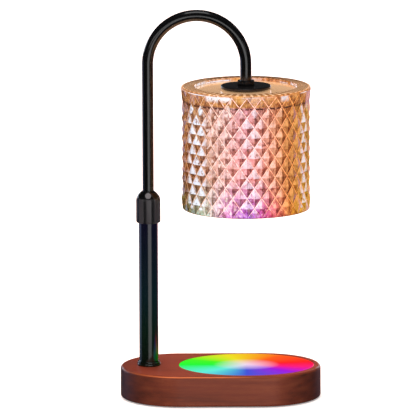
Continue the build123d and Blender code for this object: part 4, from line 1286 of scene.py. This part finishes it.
class LAMP_OT_glass_shade(bpy.types.Operator):
    """Cut-glass shade: diamonds all round, with rounded rim and foot"""

    bl_idname = "candle_lamp.glass_shade"
    bl_label = "Glass Shade"

    columns = 54
    rows = 12
    phase = -89.4
    groove = 1.9 * MM
    groove_at_rim = 0.8 * MM
    wall_radius = 64.2 * MM
    foot_radius = 64.8 * MM
    foot_round = 1.1 * MM
    rim_round = 2.1 * MM
    round_step = 18
    recess_radius = 51.0 * MM
    recess_depth = 3.2 * MM
    top_thickness = 8.6 * MM
    hole_radius = 6.0 * MM
    glass_wall = 4.1 * MM
    ceiling_round = 6.0 * MM

    def execute(self, context):
        sizes = context.scene.lamp_sizes
        bottom = low("glass_shade").z
        top = high("glass_shade").z
        rim_radius = (high("glass_shade").y - low("glass_shade").y) / 2
        shade = self.cut_wall(sizes, bottom, top, rim_radius)
        self.round_in(shade, self.foot_radius - self.foot_round, bottom + self.foot_round,
                      self.foot_round, upwards=-1)
        self.round_in(shade, rim_radius, top - self.rim_round, self.rim_round, upwards=1)
        end_edit()
        self.add_inside(shade, sizes, bottom, top)
        smooth(shade, 9)
        self.finish_rounds(shade, bottom, top, rim_radius)
        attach(shade, "swing_neck")
        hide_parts("glass_shade")
        return {"FINISHED"}

    def cut_wall(self, sizes, bottom, top, rim_radius):
        """The wall with its cuts, left in edit mode and open at its foot and rim."""
        row_height = (top - bottom - self.rim_round) / self.rows
        step = 360 / self.columns
        shade = start_piece(
            "cut_glass_shade", bpy.ops.mesh.primitive_cylinder_add, vertices=self.columns,
            radius=self.wall_radius, depth=row_height * self.rows, end_fill_type="NOTHING",
            location=(lamp_x, 0, bottom + row_height * self.rows / 2),
            rotation=(0, 0, radians(self.phase - 90)),
        )
        for finish in ("glass", "cut"):
            shade.data.materials.append(finishes[finish])
        pick(shade, "EDGE", lambda edge: abs(edge.verts[0].co.z - edge.verts[1].co.z) > MM)
        bpy.ops.mesh.subdivide(number_cuts=self.rows - 1)

        def row_of(vertex):
            return round((vertex.co.z - bottom) / row_height)

        def crossing(vertex):
            angle = degrees(atan2(vertex.co.y, vertex.co.x - lamp_x))
            column = round((angle - self.phase) / step) % self.columns
            return (column + row_of(vertex)) % 2 == 0

        def rescale(test, radius, from_radius):
            pick(shade, "VERT", test)
            widen(lamp_x, 0, radius / from_radius)

        # Push every other point in to where the cuts cross, and split the squares along the cuts
        groove_radius = self.wall_radius - self.groove
        rescale(crossing, groove_radius, self.wall_radius)
        bpy.ops.mesh.select_all(action="SELECT")
        bpy.ops.mesh.quads_convert_to_tris(quad_method="SHORTEST_DIAGONAL")

        # The cuts run out towards the rim, and the foot and rim end in plain edges
        rescale(lambda v: row_of(v) == self.rows - 1 and crossing(v),
                self.wall_radius - self.groove_at_rim, groove_radius)
        rescale(lambda v: row_of(v) == 1, self.foot_radius, self.wall_radius)
        for row, radius in ((0, self.foot_radius - self.foot_round), (self.rows, rim_radius)):
            rescale(lambda v: row_of(v) == row and not crossing(v), radius, self.wall_radius)
            rescale(lambda v: row_of(v) == row and crossing(v), radius, groove_radius)

        # The ridges are fire polished, and the cuts end in a narrow strip
        def ridge_edge(edge):
            one, two = edge.verts
            in_plain_edge = row_of(one) == row_of(two) and row_of(one) in (0, self.rows)
            return crossing(one) != crossing(two) and not in_plain_edge

        def cut_edge(edge):
            one, two = edge.verts
            return crossing(one) and crossing(two) and row_of(one) != row_of(two)

        pick(shade, "EDGE", ridge_edge)
        bpy.ops.mesh.bevel(offset=sizes.ridge_strip, segments=2, affect="EDGES", clamp_overlap=True)
        pick(shade, "EDGE", cut_edge)
        bpy.ops.mesh.bevel(
            offset=sizes.groove_strip, segments=1, affect="EDGES", clamp_overlap=False, material=1
        )

        # Move the lowest row up to where the foot's rounding starts
        pick(shade, "VERT", lambda v: abs(v.co.z - bottom) < 0.5 * MM)
        bpy.ops.transform.translate(value=(0, 0, self.foot_round))
        return shade

    def round_in(self, shade, radius, z, rounding, upwards):
        """Closes an open ring in by a quarter round, up or down."""
        ring_radius = radius
        ring_z = z
        for angle in range(self.round_step, 91, self.round_step):
            next_radius = radius - rounding * (1 - cos(radians(angle)))
            next_z = z + upwards * rounding * sin(radians(angle))
            pick(shade, "EDGE", open_ring(ring_z))
            extrude_ring(lamp_x, ring_z, next_z, next_radius / ring_radius)
            ring_radius = next_radius
            ring_z = next_z

    def add_inside(self, shade, sizes, bottom, top):
        """Recess, hole, ceiling and cavity, turned smooth and joined to the wall."""
        recess_z = top - self.recess_depth
        ceiling_z = recess_z - self.top_thickness
        cavity_radius = self.wall_radius - self.groove - self.glass_wall
        rounding = self.ceiling_round
        outline = [
            (self.recess_radius, top), (self.recess_radius, recess_z), (self.hole_radius, recess_z),
            (self.hole_radius, ceiling_z),
        ]
        outline += arc(cavity_radius - rounding, ceiling_z - rounding, rounding, 90, 0, 12)
        outline.append((cavity_radius, bottom))
        inside = turned("shade_inside", lamp_x, outline, 216, ends="open")
        inside.data.materials.append(finishes["glass"])
        joined(shade, [inside])
        begin_edit(shade)
        for z in (top, bottom):
            pick(shade, "EDGE", open_ring(z))
            bpy.ops.mesh.bridge_edge_loops()
        bpy.ops.mesh.select_all(action="SELECT")
        bpy.ops.mesh.remove_doubles(threshold=weld)
        bpy.ops.mesh.normals_make_consistent(inside=False)
        end_edit()
        recess_edges = [(self.recess_radius, top), (self.recess_radius, recess_z)]
        round_rings(shade, lamp_x, recess_edges, sizes.recess_round, 8)

    def finish_rounds(self, shade, bottom, top, rim_radius):
        """Smooths the rounded rim and foot, and gives them the duller ground finish."""
        slack = 0.02 * MM
        margin = 0.1 * MM

        def in_round(vertex):
            out = hypot(vertex.co.x - lamp_x, vertex.co.y)
            if vertex.co.z > top - self.rim_round - slack:
                return out > rim_radius - self.rim_round - margin
            if vertex.co.z < bottom + self.foot_round + slack:
                return out > self.foot_radius - 2 * self.foot_round - margin
            return False

        begin_edit(shade)
        pick(shade, "EDGE", lambda edge: all(in_round(v) for v in edge.verts))
        bpy.ops.mesh.mark_sharp(clear=True)
        shade.data.materials.append(finishes["rim"])
        shade.active_material_index = len(shade.data.materials) - 1
        pick(shade, "FACE", lambda face: all(in_round(v) for v in face.verts))
        bpy.ops.object.material_slot_assign()
        end_edit()


class LAMP_OT_lamp_holder(bpy.types.Operator):
    """Lamp holder with its cap, screws and contacts"""

    bl_idname = "candle_lamp.lamp_holder"
    bl_label = "Lamp Holder"

    def execute(self, context):
        dress("nickel", "holder_cap")
        dress("steatite", "lamp_holder")
        dress("zinc", "holder_screws")
        dress("brass", "holder_contacts", "bulb_pins")
        return {"FINISHED"}


class LAMP_OT_bulb(bpy.types.Operator):
    """Reflector bulb"""

    bl_idname = "candle_lamp.bulb"
    bl_label = "Bulb"

    flutes = 36

    def execute(self, context):
        dress("cement", "bulb_base")
        dress("mirror", "bulb_reflector")
        dress("lens", "bulb_lens")
        dress("burner", "bulb_capsule")
        return {"FINISHED"}


# ---------------------------------------------------------------- the studio

class LAMP_OT_studio(bpy.types.Operator):
    """Pale floor, soft lights, white surroundings and the camera"""

    bl_idname = "candle_lamp.studio"
    bl_label = "Studio"

    def execute(self, context):
        self.add_floor()
        self.add_surroundings(context)
        self.add_lights()
        self.add_camera(context)
        context.scene.view_settings.view_transform = "Standard"
        context.scene.cycles.max_bounces = 24
        context.scene.cycles.transmission_bounces = 24
        return {"FINISHED"}

    def add_floor(self):
        floor = start_piece("studio_floor", bpy.ops.mesh.primitive_plane_add, size=60.0)
        end_edit()
        # Matt paper, lit through a little so that it stays white under the lamp
        material, tree = new_material("studio_paper")
        shader = add_node(
            tree, "BsdfPrincipled", Base_Color="#F6F6F6", Roughness=0.9, Specular_IOR_Level=0.0,
            Emission_Color="#FFFFFF", Emission_Strength=0.25,
        )
        add_node(tree, "OutputMaterial", shader)
        floor.data.materials.append(material)
        floor.visible_glossy = False
        floor.visible_shadow = False

    def add_surroundings(self, context):
        """White where it is looked at, nearly black in a gloss, and brighter above than below for the
        rest of the light."""
        world = bpy.data.worlds.new("white_studio")
        context.scene.world = world
        world.use_nodes = True
        tree = world.node_tree
        tree.nodes.clear()
        ray = add_node(tree, "LightPath")
        direction = add_node(tree, "TexCoord").outputs["Generated"]
        height = add_node(tree, "SeparateXYZ", direction).outputs["Z"]
        sky = add_node(tree, "ValToRGB", height, marks=((0.0, "#818184"), (0.9, "#FFFFFF")))
        fill = add_node(tree, "Background", sky, 1.25)
        dim = add_node(tree, "Background", "#F3F9FF", 0.03)
        white = add_node(tree, "Background", "#FFFFFF", 1.02)
        outside = add_node(tree, "Math", ray.outputs["Transmission Depth"], 0.5, operation="LESS_THAN")
        mirrored = add_node(tree, "Math", ray.outputs["Is Glossy Ray"], outside, operation="MULTIPLY")
        seen = add_node(
            tree, "Math", ray.outputs["Is Camera Ray"], ray.outputs["Is Transmission Ray"],
            operation="MAXIMUM",
        )
        around = add_node(tree, "MixShader", mirrored, fill, dim)
        around = add_node(tree, "MixShader", seen, around, white)
        add_node(tree, "OutputWorld", around)

    # Name, azimuth from the front and elevation in degrees, distance, width, height, radiance,
    # colour, and whether glossy surfaces mirror it
    softboxes = (
        ("front_fill", 14, -4, 2.6, 1.9, 1.1, 1.7, "#FFFFFF", True),
        ("front_wash", -12, 16, 2.6, 1.6, 1.2, 0.9, "#FFF4EC", False),
        ("left_low_box", -118, -8, 2.4, 2.0, 0.6, 0.8, "#B8CCFF", True),
        ("right_low_box", 146, -8, 2.4, 1.6, 0.6, 0.8, "#FFC4DC", True),
        ("left_back_box", -143, 8, 2.4, 1.8, 0.5, 3.5, "#E0EEFF", True),
        ("front_left_strip", -21, 11, 2.4, 1.3, 0.45, 1.6, "#FFFFFF", True),
        ("front_right_strip", 50, 11, 2.4, 0.22, 0.45, 1.6, "#FFF6F0", True),
        ("right_back_box", 162, 8, 2.4, 0.7, 0.5, 4.0, "#FFF0F4", True),
        ("top_box", 0, 80, 2.4, 1.2, 1.2, 2.0, "#FFFFFF", True),
        ("top_wash", 0, 88, 2.4, 2.0, 2.0, 2.5, "#FFB090", False),
        ("back_wash", -160, 42, 2.4, 2.2, 1.4, 5.0, "#FFB898", False),
    )

    def add_lights(self):
        aim = Vector((0, 0, 0.2))
        for name, azimuth, elevation, distance, width, height, radiance, tint, mirrored in self.softboxes:
            around = radians(azimuth)
            up = radians(elevation)
            away = Vector((sin(around) * cos(up), -cos(around) * cos(up), sin(up)))
            light = bpy.data.lights.new(name, "AREA")
            light.shape = "RECTANGLE"
            light.size = width
            light.size_y = height
            light.color = linear(tint)[:3]
            light.energy = radiance * pi * width * height
            lamp = bpy.data.objects.new(name, light)
            bpy.context.scene.collection.objects.link(lamp)
            lamp.location = aim + distance * away
            lamp.rotation_euler = away.to_track_quat("Z", "Y").to_euler()
            lamp.visible_camera = False
            lamp.visible_glossy = mirrored
            lamp.visible_transmission = False

    def add_camera(self, context):
        """A long lens a little above the lamp, turned slightly on its side."""
        distance = 7.0
        pitch = radians(10.4)
        roll = radians(-0.2)
        field = 0.4164
        target = Vector((-0.0122, 0, 0.1920))
        camera = bpy.data.cameras.new("studio_camera")
        camera.sensor_width = 36.0
        camera.lens = camera.sensor_width * distance / field
        camera.clip_end = 100.0
        viewer = bpy.data.objects.new("studio_camera", camera)
        context.scene.collection.objects.link(viewer)
        viewer.location = target + distance * Vector((0, -cos(pitch), sin(pitch)))
        turn = Matrix.Rotation(pi / 2 - pitch, 4, "X") @ Matrix.Rotation(roll, 4, "Z")
        viewer.rotation_euler = turn.to_euler()
        context.scene.camera = viewer


class LAMP_PT_panel(bpy.types.Panel):
    """Lists the lamp's sizes, colours and pieces in the sidebar"""

    bl_label = "Candle Warmer Lamp"
    bl_idname = "LAMP_PT_panel"
    bl_space_type = "VIEW_3D"
    bl_region_type = "UI"
    bl_category = "Lamp"

    def draw(self, context):
        for group in (context.scene.lamp_sizes, context.scene.lamp_colours):
            box = self.layout.box()
            for key in group.__annotations__:
                box.prop(group, key)
        for operator in operators:
            self.layout.operator(operator.bl_idname)


operators = (
    LAMP_OT_wooden_base,
    LAMP_OT_underside,
    LAMP_OT_base_insides,
    LAMP_OT_light_plate,
    LAMP_OT_post,
    LAMP_OT_lock_collar,
    LAMP_OT_neck,
    LAMP_OT_shade_clamp,
    LAMP_OT_glass_shade,
    LAMP_OT_lamp_holder,
    LAMP_OT_bulb,
    LAMP_OT_studio,
)
classes = (LampSizes, LampColours, *operators, LAMP_PT_panel)


def register():
    for each in classes:
        bpy.utils.register_class(each)
    bpy.types.Scene.lamp_sizes = bpy.props.PointerProperty(type=LampSizes)
    bpy.types.Scene.lamp_colours = bpy.props.PointerProperty(type=LampColours)


def unregister():
    del bpy.types.Scene.lamp_colours
    del bpy.types.Scene.lamp_sizes
    for each in reversed(classes):
        bpy.utils.unregister_class(each)


def main():
    register()
    scene = bpy.context.scene
    make_finishes(scene.lamp_sizes, scene.lamp_colours)
    for operator in operators:
        group, name = operator.bl_idname.split(".")
        getattr(getattr(bpy.ops, group), name)()


if __name__ == "__main__":
    main()
